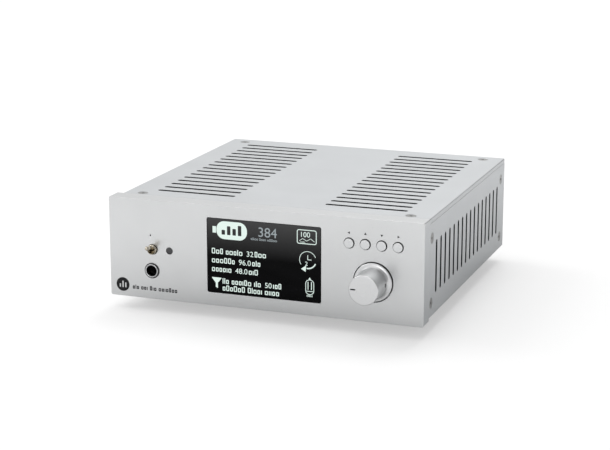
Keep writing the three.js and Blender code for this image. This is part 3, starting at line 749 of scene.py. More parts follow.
def control_holes(shell, depth):
    """The holes of the toggle, the socket, the infra-red window, the volume control and the light."""
    low, high, _ = extent("ir_window")
    eye_hole = (high.x - low.x) / 2 + GAP / 2
    plain = {"toggle_switch": TOGGLE_HOLE, "headphone_bezel": JACK_HOLE, "ir_window": eye_hole}
    holes = [bore(shell, node, radius, (radius, depth)) for node, radius in plain.items()]
    recess = extent("volume_potentiometer").low.y - GAP - PANEL_FACE
    steps = (KNOB_RECESS, recess), (BUSH_HOLE, recess), (BUSH_HOLE, depth)
    holes.append(bore(shell, "volume_shaft", KNOB_RECESS, *steps, edge=0.25))
    narrow, wide, level = LED_HOLE.values()
    steps = (narrow, level), (wide, level), (wide, depth)
    holes.append(bore(shell, "status_led", narrow, *steps, edge=0.08))
    return holes


def button_pocket(shell, back):
    """The buttons' holes and the pocket behind them. Gives back their mouths and the pocket's."""
    step = BUTTON_HOLE, POCKET["depth"]
    mouths, ends = zip(*[bore(shell, f"button_{way}", BUTTON_HOLE, step) for way in BUTTON_WAYS])
    outline = front_outline("button_board", POCKET["corner"], GAP)
    bottom, pocket = shell.sweep("y", outline, [(0, PANEL_FACE + POCKET["depth"]), (0, back)])
    shell.flat(bottom, *ends)
    return mouths, pocket


def window_opening(shell, back):
    """An opening with a ledge for the display window. Gives back its first ring and its last."""
    step = extent("display_window").high.y + GAP
    mouth = from_end(broken_edge(0, 0.2), PANEL_FACE, 1)
    outline = front_outline("display_window", WINDOW_CORNER + GAP, GAP)
    window, ledge = shell.sweep("y", outline, mouth + [(0, step)])
    inside = front_outline("display_window", 0.5, -LEDGE)
    inner, opening = shell.sweep("y", inside, [(0, step), (0, back)])
    shell.flat(ledge, inner)
    return window, opening


def front_panel():
    """The milled panel, whose two ends take the case's darker colour: painted shade."""
    low, high, _ = extent("front_panel")
    shell = Shell()
    front, back = shell.walls("front_panel", PANEL_CORNER, PANEL_FACE, high.y, PANEL_EDGE)
    # The panel's two ends take the case's darker colour: painted shade.
    shell.refinish("case_panel", lambda point: point.x > high.x - TINY or point.x < low.x + TINY)
    front_holes, back_holes = zip(*control_holes(shell, high.y - PANEL_FACE))
    mouths, pocket = button_pocket(shell, high.y)
    window, opening = window_opening(shell, high.y)
    shell.flat(front, window, *front_holes, *mouths)
    shell.flat(back, opening, pocket, *back_holes)
    refine("front_panel", shell, "front_panel")


def countersink(level, way, inner):
    """The seat of a screw through a plate, from its outer face to its inner one."""
    edge = 0.08
    shank = SCREW["shank"] + SCREW_CLEARANCE
    profile = [(SCREW_HOLE + edge, 0), (SCREW_HOLE, edge), (SCREW_HOLE, SCREW["sunk"] + edge)]
    profile += [(shank, SCREW["sunk"] + SCREW["cone"]), (shank, abs(inner - level))]
    return from_end(profile, level, way)


def plate(node, axis, end, closed=(0, 0, 0, 0), screwed=True, thickness=None, side_edge=PLATE_EDGE):
    """A flat plate with all the openings that the CAD node has at its outer face.

    Closed says which of its four borders (left, lower, right, upper) come up to their neighbours. The
    side edge is how round its left and right borders are outside.
    """
    low, high, _ = extent(node)
    outside, inside = (low, high) if end is min else (high, low)
    outside, inside = outside[AXIS[axis]], inside[AXIS[axis]]
    way = 1 if inside > outside else -1
    if thickness:
        inside = outside + way * thickness
    border, *openings = face_loops(node, axis, end)
    left, base, right, top = (growth * (GAP - SEAM) for growth in closed)
    corner = max(PLATE_CORNER, side_edge + 0.1)
    body = rounded(border.u0 - left, border.v0 - base, border.u1 + right, border.v1 + top, corner)

    def outline(grow):
        sides, ends = body(grow), body(grow * PLATE_EDGE / side_edge)
        return [(u, v) for (u, _), (_, v) in zip(sides, ends)]

    soft = rim(outside, inside, side_edge)
    plain = rim(outside, inside, PLATE_EDGE)
    half = len(plain) // 2
    shell = Shell()
    rings = [shell.sweep(axis, outline, soft[:half] + plain[half:])]
    for loop in openings:
        if screwed and is_round(loop):
            at = circle((loop.u0 + loop.u1) / 2, (loop.v0 + loop.v1) / 2, 48)
            rings.append(shell.sweep(axis, at, countersink(outside, way, inside)))
        else:
            # The walls and mouths of the slots take a near-black colour: painted shade.
            shell.use("slot_wall_painted_shade_finish")
            rings.append(shell.sweep(axis, loop_outline(loop), rim(outside, inside, SLOT_EDGE, 1, steps=2)))
            shell.use(None)
    for face in zip(*rings):
        shell.flat(*face)
    return shell


def case_plates():
    """The cover, the sides, the floor and the rear panel."""
    # The cover, the sides and the rear panel take the case's darker colour: painted shade.
    refine("top_cover", plate("top_cover", "z", max, closed=(0, 1, 0, 0), side_edge=COVER_EDGE), "case_panel")
    for side, end in (("left", min), ("right", max)):
        node = f"side_panel_{side}"
        refine(node, plate(node, "x", end, closed=(1, 0, 0, 1)), "case_panel")
    low, high, _ = extent("side_panel_left")
    base = plate("bottom_plate", "z", min, screwed=False, thickness=high.x - low.x)
    refine("bottom_plate", base, "inner_steel")
    refine("rear_panel", plate("rear_panel", "y", max, screwed=False), "case_panel")


def board_pillars():
    """Hexagonal pillars under the main board, each with a screw head on top."""
    low, high, _ = extent("main_board")
    inset, radius, head = PILLAR["inset"], PILLAR["radius"], PILLAR["head"]
    start = extent("side_panel_left").low.z + FLOOR_PLATE + PILLAR["clearance"]
    end = low.z - PILLAR["clearance"]
    seat = high.z + PILLAR["clearance"]
    rear = min(high.y, extent("bottom_plate").high.y) - PILLAR["rear_margin"] - inset
    shell = Shell()
    for x in (low.x + inset, high.x - inset):
        for y in (low.y + inset, rear):
            shell.solid("z", circle(x, y, 6, radius=radius), rim(start, end, 0.25))
            dome = [(radius, seat), (radius, high.z + 0.5)] + arc(radius - 1, high.z + 0.5, 1, 0, 90, 5)
            shell.turned("z", x, y, dome + [(0, high.z + head)], 32)
    add_piece("board_pillars", shell, "inner_steel")


def foot(end, side):
    """A turned rubber foot with a grooved sole and a rounded shoulder."""
    node = f"foot_{end}_{side}"
    low, high, at = extent(node)
    radius = (high.x - low.x) / 2
    height = high.z - low.z
    profile = [(0, 0.9), (2.4, 0.9), (2.8, 0.5), (2.8, 0)]
    for groove in (5, 7.4):
        profile += [(groove, 0), (groove + 0.2, 0.35), (groove + 0.8, 0.35), (groove + 1, 0)]
    profile += arc(radius - 0.7, 0.7, 0.7, 270, 360)
    profile += [(radius - 0.5, height * 0.6)] + arc(radius - 1.4, height - 0.6, 0.6, 0, 90) + [(0, height)]
    shell = Shell()
    shell.turned("z", *at.xy, from_end(profile, low.z, 1), 72)
    refine(node, shell, "foot_rubber")


def screw(axis, u, v, face, way):
    """A countersunk screw with a hexagon socket and a rolled thread, from the face it is sunk in."""
    edge = 0.12
    sunk, shank, pitch, size = SCREW["sunk"], SCREW["shank"], SCREW["pitch"], SCREW_HEX["radius"]
    start = sunk + SCREW["cone"]
    profile = arc(SCREW["head"] - edge, sunk + edge, edge, 270, 360, 3) + [(shank, start)]
    for i in range(int((SCREW["length"] - start) / pitch)):
        profile += [(shank, start + (i + 0.2) * pitch), (shank - SCREW["thread"], start + (i + 0.7) * pitch)]
    profile += [(1, SCREW["length"]), (0, SCREW["length"])]
    shell = Shell()
    head, _ = shell.sweep(axis, circle(u, v, 48), from_end(profile, face, way))
    socket = [(size + edge, sunk), (size, sunk + edge), (size, sunk + SCREW_HEX["depth"])]
    shell.hexagon(head, axis, u, v, from_end(socket, face, way))
    return shell


def case_screws():
    """Twelve alike: one through each corner of the cover and two at each end of each side."""
    top = extent("top_cover").high.z
    for side in ("left", "right"):
        low, high, _ = extent(f"side_panel_{side}")
        face, way = (low.x, 1) if side == "left" else (high.x, -1)
        for end in ("front", "rear"):
            node = f"top_screw_{end}_{side}"
            refine(node, screw("z", *extent(node).middle.xy, top, -1), "screw_steel")
            for level in ("lower", "upper"):
                node = f"side_screw_{end}_{side}_{level}"
                refine(node, screw("x", *extent(node).middle.yz, face, way), "screw_steel")


# ---------------- Volume control


def volume_knob():
    """A turned knob that grows through a hollow fillet into a thin flange, with an index line."""
    low, high, _ = extent("volume_knob")
    at = extent("volume_shaft").middle
    radius, fillet, edge, bore = KNOB["radius"], KNOB["fillet"], KNOB["edge"], KNOB["bore"]
    flange = (high.x - low.x) / 2
    shoulder = PANEL_FACE - KNOB["proud"]
    bore_end = PANEL_FACE - KNOB["bore_end"]
    profile = [(0, low.y), (radius - edge, low.y)] + arc(radius - edge, low.y + edge, edge, 270, 360)
    profile += arc(radius + fillet, shoulder - fillet, fillet, 180, 90, 10)
    profile += [(flange - 0.3, shoulder), (flange, shoulder + 0.3), (flange, high.y)]
    profile += [(bore, high.y), (bore, bore_end), (0, bore_end)]
    body = Shell()
    body.turned("y", *at.xz, profile, 144)
    half = KNOB_LINE["width"] / 2
    ends = at.x - KNOB_LINE["to"], at.z - half, at.x - KNOB_LINE["from"], at.z + half
    line = rounded(*ends, half - 0.01)
    line_floor = low.y + KNOB_LINE["depth"]
    cutter = Shell()
    cutter.solid("y", line, [(0, low.y - 1), (0, line_floor)])
    hole = [(SET_SCREW["hole"], at.x + 3), (SET_SCREW["hole"], at.x + 12)]
    cutter.turned("x", PANEL_FACE - SET_SCREW["y"], at.z, hole, 32)
    refine("volume_knob", carve(body.mesh("knob"), cutter.mesh("cutter")), "knob_aluminium", "volume_control")
    inlay = Shell("ink")
    inlay.solid("y", line, [(-0.04, line_floor - 0.01), (-0.04, line_floor - 0.14)])
    add_piece("knob_index_inlay", inlay, "dark_plastic", "volume_control")


def knob_set_screw():
    low, high, at = extent("knob_set_screw")
    radius, turns, size = SET_SCREW["radius"], SET_SCREW["turns"], SET_SCREW["hex"]
    profile = [(radius - 0.12, high.x), (radius, high.x - 0.12)]
    pitch = (high.x - low.x - 0.4) / turns
    for i in range(turns):
        start = high.x - 0.2 - i * pitch
        profile += [(radius, start), (radius - 0.14, start - pitch / 2)]
    profile += [(radius - 0.3, low.x), (0, low.x)]
    shell = Shell()
    end, _ = shell.sweep("x", circle(*at.yz, 32), profile)
    shell.hexagon(end, "x", *at.yz, [(size, high.x), (size, high.x - SET_SCREW["depth"])])
    refine("knob_set_screw", shell, "screw_steel", "volume_control")


# ---------------- Buttons


def button(way):
    """A cap with a slightly crowned face, on a flange behind the panel."""
    node = f"button_{way}"
    low, high, _ = extent(node)
    radius, edge, crown = BUTTON["radius"], BUTTON["edge"], BUTTON["crown"]
    flange = (high.x - low.x) / 2
    shoulder = high.y - BUTTON["flange"]
    profile = [(0, low.y), (radius * 0.5, low.y + crown / 4), (radius - edge, low.y + crown)]
    profile += arc(radius - edge, low.y + crown + edge, edge, 270, 360)[1:]
    profile += [(radius, shoulder), (flange, shoulder), (flange, high.y), (0, high.y)]
    refine_turned(node, profile, "knob_aluminium", 96, f"{way}_button", "button_aluminium")


def button_symbols():
    """A small printed triangle over each button, pointing the way that it steps."""
    shell = Shell("ink")
    for way, turn in BUTTON_WAYS.items():
        u, v = extent(f"button_{way}").middle.xz
        triangle = circle(u, v + BUTTON_SYMBOL["rise"], 3, radius=BUTTON_SYMBOL["radius"], turn=turn)
        shell.solid("y", triangle, [(0, PANEL_FACE), (0, PANEL_FACE - INK)])
    add_piece("button_symbols", shell, "dark_plastic")


# ---------------- Left-hand controls


def toggle_lever():
    """A tapering lever with a ball end, tilted about its pivot by half its throw."""
    joint = next(j for j in frame["joints"] if j["name"] == "toggle_throw")
    tilt = math.radians(sum(joint["range_deg"]) / 2)
    pivot = Vector(joint["pos_m"]) / MM
    reach, ball = LEVER["reach"], LEVER["ball"]
    profile = [(0, -reach)] + arc(0, ball - reach, ball, 270, 360, 10)[1:]
    profile += [(1.3, 2.1 - reach), (1.0, -1.6), (1.15, -0.4), (1.15, 0.4), (0.85, 1.3), (0, 1.4)]
    shell = Shell()
    shell.turned("y", 0, 0, profile)
    shell.turn(Matrix.Translation(pivot) @ Matrix.Rotation(-tilt, 4, "X"))
    refine("toggle_lever", shell, "toggle_nickel", "toggle")


def toggle_switch():
    """A threaded bush through the panel, on a switch body with solder tags."""
    low, high, at = extent("toggle_switch")
    radius, bore, cup, pitch = BUSH.values()
    profile = [(bore, PANEL_FACE + cup), (bore, low.y + 0.25), (bore + 0.2, low.y)]
    start = low.y + 0.15
    for i in range(int((PANEL_FACE - start) / pitch) - 1):
        profile += [(radius - 0.2, start + i * pitch), (radius, start + (i + 0.5) * pitch)]
    profile += [(radius, PANEL_FACE), (radius, PANEL_BACK)]
    shell = Shell()
    bottom, neck = shell.sweep("y", circle(*at.xz), profile)
    shell.flat(bottom)
    front, back = shell.walls("toggle_switch", 0.5, PANEL_BACK, high.y, 0.2)
    shell.flat(front, neck)
    shell.flat(back)
    shell.use("contact_gold")
    for level in (at.z - 3, at.z, at.z + 3):
        tag = (at.x - 0.6, high.y - 0.1, level - 0.25), (at.x + 0.6, high.y + 3, level + 0.25)
        shell.block(*tag, edge=0.08)
    refine("toggle_switch", shell, "toggle_nickel")


def headphone_bezel():
    """The polished ring of the headphone socket: dark washer, rounded rim and a sleeve behind. The dark
    washer is painted shade for the gap round the ring.
    """
    low, high, at = extent("headphone_bezel")
    radius = (high.x - low.x) / 2
    sleeve, ring = radius - BEZEL["sleeve"], radius - BEZEL["washer"]
    washer_face, seat = PANEL_FACE - BEZEL["proud"], PANEL_FACE - 0.03
    rim_radius = (ring - JACK_BORE - 0.1) / 2
    profile = [(JACK_BORE, high.y), (JACK_BORE, low.y + 1.1)]
    profile += arc(ring - rim_radius, low.y + rim_radius, rim_radius, 180, 360, 16) + [(ring, washer_face)]
    # The dark washer stands where the gap round the ring lies in shade: painted shade.
    washer = [(ring, washer_face), (radius - 0.1, washer_face), (radius, PANEL_FACE - 0.3), (radius, seat)]
    behind = [(radius, seat), (sleeve, seat), (sleeve, high.y), (JACK_BORE, high.y)]
    shell = Shell()
    for finish, part in ((None, profile), ("dark_plastic", washer), (None, behind)):
        shell.use(finish)
        shell.sweep("y", circle(*at.xz, 96), part)
    refine("headphone_bezel", shell, "polished_chrome")


def headphone_jack():
    """The moulded jack body, with a bore and sprung contacts in it."""
    _, high, at = extent("headphone_jack")
    bezel = extent("headphone_bezel")
    sleeve = (bezel.high.x - at.x) - BEZEL["sleeve"]
    mouth = bezel.high.y + GAP
    bore_end = high.y - 3
    profile = [(0, bore_end), (JACK_BORE, bore_end), (JACK_BORE, mouth)]
    profile += [(sleeve, mouth), (sleeve, PANEL_BACK)]
    shell = Shell()
    _, collar = shell.sweep("y", circle(*at.xz), profile)
    front, back = shell.walls("headphone_jack", 0.8, PANEL_BACK, high.y, 0.3)
    shell.flat(front, collar)
    shell.flat(back)
    shell.use("contact_gold")
    for turn, depth in ((0.15, 3), (0.4, 9), (0.65, 15), (0.9, 21)):
        [(u, v)] = circle(*at.xz, 1, radius=2.9, turn=turn)()
        spring = [(0, 0), (0.5, 0.2), (0.75, 1.6), (0.5, 3), (0, 3.2)]
        shell.turned("y", u, v, from_end(spring, PANEL_BACK + depth, 1), 16)
    refine("headphone_jack", shell, "dark_plastic")


def ir_window():
    low, high, _ = extent("ir_window")
    radius, edge = (high.x - low.x) / 2, 0.25
    profile = [(0, low.y - 0.02), (radius * 0.6, low.y), (radius - edge, low.y + 0.06)]
    profile += arc(radius - edge, low.y + 0.31, edge, 270, 360)[1:]
    profile += [(radius, high.y - 0.2), (radius - 0.2, high.y), (0, high.y)]
    refine_turned("ir_window", profile, "smoked_plastic", 72)


def status_led():
    low, high, _ = extent("status_led")
    radius = (high.x - low.x) / 2
    flange = radius + 0.2
    profile = [(0, low.y)] + arc(0, low.y + radius, radius, 270, 360, 10)[1:]
    profile += [(radius, high.y - 1), (flange, high.y - 1), (flange, high.y), (0, high.y)]
    refine_turned("status_led", profile, "smoked_plastic", 48, finish="led")


# ---------------- Display


def display_window():
    low, high, _ = extent("display_window")
    shell = Shell()
    shell.solid("y", front_outline("display_window", WINDOW_CORNER), rim(low.y, high.y, 0.12))
    refine("display_window", shell, "display_glass")


class Marks:
    """Thin flat marks, drawn from a corner in millimetres. They reach forwards from a level."""

    def __init__(self, finish, left, level, base):
        self.left, self.level, self.base = left, level, base
        self.shell = Shell(finish)

    def fill(self, outline, *cutouts):
        """A filled area, with empty cutouts."""
        levels = [(0, self.level), (0, self.level - INK)]
        rings = [self.shell.sweep("y", self.moved(shape), levels) for shape in (outline, *cutouts)]
        for end in zip(*rings):
            self.shell.flat(*end)

    def moved(self, outline):
        return lambda grow=0.0: [(self.left + u, self.base + v) for u, v in outline(grow)]

    def bar(self, u0, v0, u1, v1, corner=0.12):
        self.fill(rounded(u0, v0, u1, v1, corner, steps=3))

    def stroke(self, start, end, width):
        """A straight line."""
        start, end = Vector(start), Vector(end)
        way = (end - start).normalized() * width / 2
        side = Vector((-way.y, way.x))
        corners = start + side, start - side, end - side, end + side
        self.fill(polygon(*[tuple(corner) for corner in corners]))

    def sweep_arc(self, u, v, radius, width, start, end):
        """Part of a ring, with its angles in degrees."""
        outside = arc(u, v, radius + width / 2, start, end, 32)
        inside = arc(u, v, radius - width / 2, end, start, 32)
        self.fill(polygon(*outside, *inside))

    def numerals(self, digits, u, v, height, weight):
        """Numerals in Blender's own typeface. Gives back where they end."""
        curve = bpy.data.curves.new("numerals", "FONT")
        curve.body = digits
        cap_height = 0.73  # of the typeface's size
        curve.size = height / cap_height
        curve.offset = weight
        curve.fill_mode = "NONE"
        loops = outline_loops(final_mesh(new_object("numerals", curve)))
        placed = [[(u + x, v + y) for x, y in loop] for loop in loops]
        for group in nested(placed):
            self.fill(*[polygon(*loop) for loop in group])
        return max(x for loop in placed for x, _ in loop)

    def words(self, u, v, height, lengths, seed, stroke=0.16):
        """Rows of small marks that stand for words, each with the given number of marks."""
        random_source = random.Random(seed)
        for length in lengths:
            for _ in range(length):
                width = height * random_source.choice((0.17, 0.52, 0.58, 0.64))
                rise = height * random_source.choice((0.74, 0.74, 0.74, 1))
                self.frame(u, v, width, rise, stroke * height)
                u += width + height * 0.16
            u += height * 0.4
        return u

    def frame(self, u, v, width, height, stroke):
        """A small frame with an empty middle, or only a stroke where it is narrow."""
        if width < 1.5 * stroke:
            self.bar(u, v, u + width, v + height, 0.06)
            return
        inside = rounded(u + stroke, v + stroke, u + width - stroke, v + height - stroke, 0.06, steps=2)
        self.fill(rounded(u, v, u + width, v + height, 0.2 * width, steps=2), inside)


def outline_loops(mesh):
    """The closed loops of points along a mesh's edges."""
    links = {}
    for edge in mesh.edges:
        first, second = edge.vertices
        links.setdefault(first, []).append(second)
        links.setdefault(second, []).append(first)
    loops = []
    unseen = set(links)
    while unseen:
        start = min(unseen)
        loop = [start]
        unseen.discard(start)
        ahead = links[start][0]
        while ahead != start:
            loop.append(ahead)
            unseen.discard(ahead)
            ahead = next(i for i in links[ahead] if i != loop[-2])
        loops.append([(mesh.vertices[i].co.x, mesh.vertices[i].co.y) for i in loop])
    return loops


def nested(loops):
    """Each outer loop with the loops that lie inside it."""

    def bounds(loop):
        xs, ys = zip(*loop)
        return min(xs), min(ys), max(xs), max(ys)

    def inside(inner, outer):
        a, b = bounds(inner), bounds(outer)
        return a != b and a[0] >= b[0] and a[1] >= b[1] and a[2] <= b[2] and a[3] <= b[3]

    outers = [loop for loop in loops if not any(inside(loop, other) for other in loops)]
    return [[outer, *[loop for loop in loops if inside(loop, outer)]] for outer in outers]


def display_image():
    """A generic page: a source symbol, figures and rows of text-like blocks, drawn as thin lit shapes."""
    low = extent("display_window").low
    page = Marks("display_light", *low)
    source_symbol(page)
    page.shell.use("display_grey")
    page.numerals("384", 33.4, 38.2, 6.2, weight=0.32)
    page.words(28.9, 35.7, 1.5, (5, 4, 8), seed=3)
    page.shell.use("display_light")
    for symbol in (boxed_symbol, clock_symbol, valve_symbol, funnel_symbol):
        symbol(page)
    rows = [
        (2.9, 24.9, (3, 5), "32", 11, 21),
        (2.9, 19.1, (6,), "96.0", 12, 22),
        (2.9, 13.5, (6,), "48.0", 13, 23),
        (9.9, 6.1, (3, 6, 3), "50", 31, 32),
    ]
    text = 3.5
    for left, base, lengths, figures, seed, end_seed in rows:
        end = page.words(left, base, text, lengths, seed)
        end = page.numerals(figures, end + 0.6, base, text, weight=0.09)
        page.words(end + 0.9, base, text, (3,), end_seed)
    page.words(9.9, 1.6, text, (6, 5, 5), seed=33)
    add_piece("display_image", page.shell, "display_glass")


def source_symbol(page):
    """A plug's outline in solid light, with four unlit level bars in it."""
    rises = 3.0, 5.6, 4.2, 6.4
    bars = [rounded(9.6 + 3.6 * i, 37.4, 11.9 + 3.6 * i, 37.4 + rise, 0.4) for i, rise in enumerate(rises)]
    page.fill(rounded(6.2, 34.6, 26.4, 45.9, 5.2, steps=10), *bars)
    page.bar(3.6, 38.2, 5.9, 42.3)


def boxed_symbol(page):
    """A thin frame round a number and a zigzag curve."""
    page.fill(rounded(58.9, 36.2, 71.6, 45.2, 1.4), rounded(59.4, 36.7, 71.1, 44.7, 0.9))
    page.numerals("100", 60.7, 40.6, 3.3, weight=0.1)
    route = [(60.4, 38.0), (62.6, 39.6), (65.2, 38.2), (67.8, 39.8), (70.2, 38.0)]
    for start, end in zip(route, route[1:]):
        page.stroke(start, end, 0.3)
    page.words(61.2, 37.1, 0.7, (7,), seed=5)


def clock_symbol(page):
    """An open ring that ends in an arrowhead, round two hands and a number."""
    u, v, radius = 65.9, 26.4, 5.3
    page.sweep_arc(u, v, radius, 0.35, 20, 215)
    page.sweep_arc(u, v, radius, 0.75, 262, 338)
    page.fill(polygon((61.6, 20.6), (64.9, 22.9), (64.5, 18.9)))
    page.stroke((u, v + 3), (u, v + 0.2), 0.4)
    page.stroke((u - 0.2, v + 0.2), (u + 2.4, v + 0.2), 0.4)
    page.numerals("2", u - 1.8, v - 3.6, 2.7, weight=0.1)


def valve_symbol(page):
    """A small valve: glass with its tip, two electrodes, a base line and pins."""
    u, base = 67.2, 4.6
    glass = rounded(u - 2.8, base, u + 2.8, base + 9.6, 2.6)
    page.fill(glass, rounded(u - 2.4, base + 0.4, u + 2.4, base + 9.2, 2.2))
    page.stroke((u - 2.2, base + 2.2), (u + 2.2, base + 2.2), 0.4)
    for offset in (-1.1, 1.1):
        page.bar(u + offset - 0.25, base + 3.2, u + offset + 0.25, base + 8.2, 0.15)
    page.fill(polygon((u - 0.9, base + 9.7), (u + 0.9, base + 9.7), (u, base + 11)))
    for i in range(5):
        left = u - 1.9 + 0.8 * i
        page.bar(left, base - 1.3, left + 0.4, base - 0.2, 0.08)


def funnel_symbol(page):
    """A filter's funnel."""
    spout = (6.7, 6.3), (6.7, 2.9), (5.3, 3.6), (5.3, 6.3)
    page.fill(polygon((2.9, 9.7), (9.1, 9.7), (9.1, 9.2), *spout, (2.9, 9.2)))


def panel_print():
    """A round mark of level bars and a row of text-like blocks, in the panel's lower left corner."""
    low = extent("front_panel").low
    area = Marks("ink", *low)
    u, v, radius = 8.4, 7.5, 4.5
    base = v - 2.0
    bars = [
        rounded(u + offset - 0.45, base, u + offset + 0.45, base + rise, 0.35)
        for offset, rise in ((-1.9, 2.4), (0, 4.2), (1.9, 3.2))
    ]
    area.fill(circle(u, v, 72, radius=radius), *bars)
    area.words(15.2, 5.2, 2.8, (3, 3, 3, 7), seed=22, stroke=0.21)
    add_piece("front_panel_print", area.shell, "dark_plastic")


# ---------------- Rear sockets

XLR_NODES = ("xlr_output_left", "xlr_output_right", "xlr_input")
XLR = {"barrel": 11.8, "flange": 2, "corner": 2.5, "well": 9.3, "bottom": 5, "insert": 7.2}
XLR_CONTACT = {"circle": 4.9, "pin": 1.2}
XLR_SCREW = {"x": 9.6, "z": 12.2, "head": 2.1, "sunk": 0.9}
RCA = {"sleeve": 4.15, "ring": 5.4, "washer": 1.5, "mouth": 3.1, "hole": 1.6, "bore": 13.5}
OPTICAL = {"port": 2.7, "depth": 10}
USB = {"mouth": (4.3, 3.95), "chamfer": 1.4, "tongue": (2.8, 1.6), "depth": 11}
POWER = {"collar": 5.2, "well": 2.9, "pin": 1.2, "depth": 10.3}
PIN_SETBACK = 1.5  # of a pin or tongue inside its mouth


def xlr_contacts(at):
    return circle(*at.xz, 3, radius=XLR_CONTACT["circle"], turn=0.25)()


def xlr_screw_places(at):
    return [(at.x + side * XLR_SCREW["x"], at.z - side * XLR_SCREW["z"]) for side in (-1, 1)]


def xlr_insert(shell, node, well):
    """An input's well: an insert with three holes, and a latch over it. Gives back the well's mouth."""
    _, high, at = extent(node)
    bottom, insert, crown = well[-1][1], XLR["insert"], high.y - 0.3
    profile = well + [(insert, bottom), (insert, crown - 0.3), (insert - 0.3, crown)]
    mouth, face = shell.sweep("y", circle(*at.xz, 72), profile)
    contact = [(1.5, crown), (1.3, crown - 0.2), (1.3, bottom + 3)]
    holes = []
    for u, v in xlr_contacts(at):
        hole, base = shell.sweep("y", circle(u, v, 24), contact)
        shell.use("contact_gold")
        shell.flat(base)
        shell.use(None)
        holes.append(hole)
    shell.flat(face, *holes)
    shell.use("inner_steel")
    latch = high.z - 2.6
    shell.block((at.x - 3, high.y - 0.6, latch - 1.5), (at.x + 3, high.y - 0.05, latch + 1.5), edge=0.15)
    return mouth


def xlr_pins(shell, node, well):
    """An output's well, with three pins in it. Gives back its mouth."""
    _, high, at = extent(node)
    mouth, base = shell.sweep("y", circle(*at.xz, 72), well)
    shell.flat(base)
    shell.use("contact_gold")
    for u, v in xlr_contacts(at):
        shell.rod(u, v, XLR_CONTACT["pin"], well[-1][1] - 0.5, high.y - 2.8, 0.4, 24)
    return mouth


def xlr_socket(node):
    """A moulded flange with two screw seats on a barrel with a well."""
    low, high, at = extent(node)
    barrel, radius, seat = XLR["barrel"], XLR["well"], high.y - XLR["flange"]
    shell = Shell()
    front, face = shell.walls(node, XLR["corner"], seat, high.y, 0.35, steps=3)
    body = [(barrel - 0.4, low.y), (barrel, low.y + 0.4), (barrel, seat)]
    nose, root = shell.sweep("y", circle(*at.xz, 72), body)
    shell.flat(nose)
    shell.flat(front, root)
    openings = []
    size = XLR_SCREW["head"] + 0.15
    seating = [(size, high.y), (size - 0.1, high.y - 0.1), (size - 0.1, high.y - XLR_SCREW["sunk"])]
    for u, v in xlr_screw_places(at):
        mouth, base = shell.sweep("y", circle(u, v, 32), seating)
        shell.flat(base)
        openings.append(mouth)
    fill = xlr_insert if node == "xlr_input" else xlr_pins
    well = [(radius + 0.3, high.y), (radius, high.y - 0.3), (radius, low.y + XLR["bottom"])]
    mouth = fill(shell, node, well)
    shell.use(None)
    shell.flat(face, mouth, *openings)
    refine(node, shell, "dark_plastic")


def xlr_screws():
    """Two domed screws in the flange of every XLR socket."""
    shell = Shell()
    head = XLR_SCREW["head"]
    for node in XLR_NODES:
        _, high, at = extent(node)
        dome = [(0, -0.85), (head, -0.85), (head, -0.5), (head - 0.5, -0.15), (1.1, 0)]
        for u, v in xlr_screw_places(at):
            _, crown = shell.sweep("y", circle(u, v, 32), from_end(dome, high.y, 1))
            shell.hexagon(crown, "y", u, v, [(0.8, high.y), (0.7, high.y - 0.6)])
    add_piece("xlr_flange_screws", shell, "screw_steel")


def rca_socket(node, colour):
    """A gold sleeve round an insulated contact, with a coloured washer against the rear panel."""
    _, high, at = extent(node)
    seat = extent("rear_panel").high.y + GAP
    sleeve, ring, thickness, mouth, hole, bore = RCA.values()
    washer, lip = seat + thickness, high.y - 0.3
    centred = circle(*at.xz)
    shell = Shell("dark_plastic")
    back = shell.body(node, 0.6, REAR_FRONT, 0.3)
    neck, _ = shell.sweep("y", centred, [(sleeve, REAR_FRONT), (sleeve, seat)])
    shell.flat(back, neck)
    outside = [(sleeve, seat), (ring - 0.2, seat), (ring, seat + 0.2), (ring, washer - 0.2)]
    tip = [(sleeve, washer), (sleeve, high.y - 0.5), (sleeve - 0.4, high.y), (mouth + 0.2, high.y)]
    parts = [
        (colour, outside + [(ring - 0.2, washer), (sleeve, washer)]),
        ("contact_gold", tip + [(mouth, lip)]),
        ("white_plastic", [(mouth, lip), (hole + 0.4, lip)]),
        ("contact_gold", [(hole + 0.4, lip), (hole, high.y - 0.5), (hole, high.y - bore)]),
    ]
    for finish, profile in parts:
        shell.use(finish)
        _, last = shell.sweep("y", centred, profile)
    shell.flat(last)
    refine(node, shell, "contact_gold")


def optical_input():
    """A block with a square port and its light guide."""
    _, high, at = extent("optical_input")
    port, bottom = OPTICAL["port"], high.y - OPTICAL["depth"]
    shell = Shell()
    face = shell.body("optical_input", 0.6, high.y, 0.35)
    outline = rounded(at.x - port, at.z - port, at.x + port, at.z + port, 0.5)
    mouth, base = shell.sweep("y", outline, [(0.3, high.y), (0, high.y - 0.3), (0, bottom)])
    shell.flat(face, mouth)
    shell.flat(base)
    shell.use("smoked_plastic")
    shell.rod(*at.xz, 1.1, bottom - 0.4, high.y - 4)
    refine("optical_input", shell, "dark_plastic")


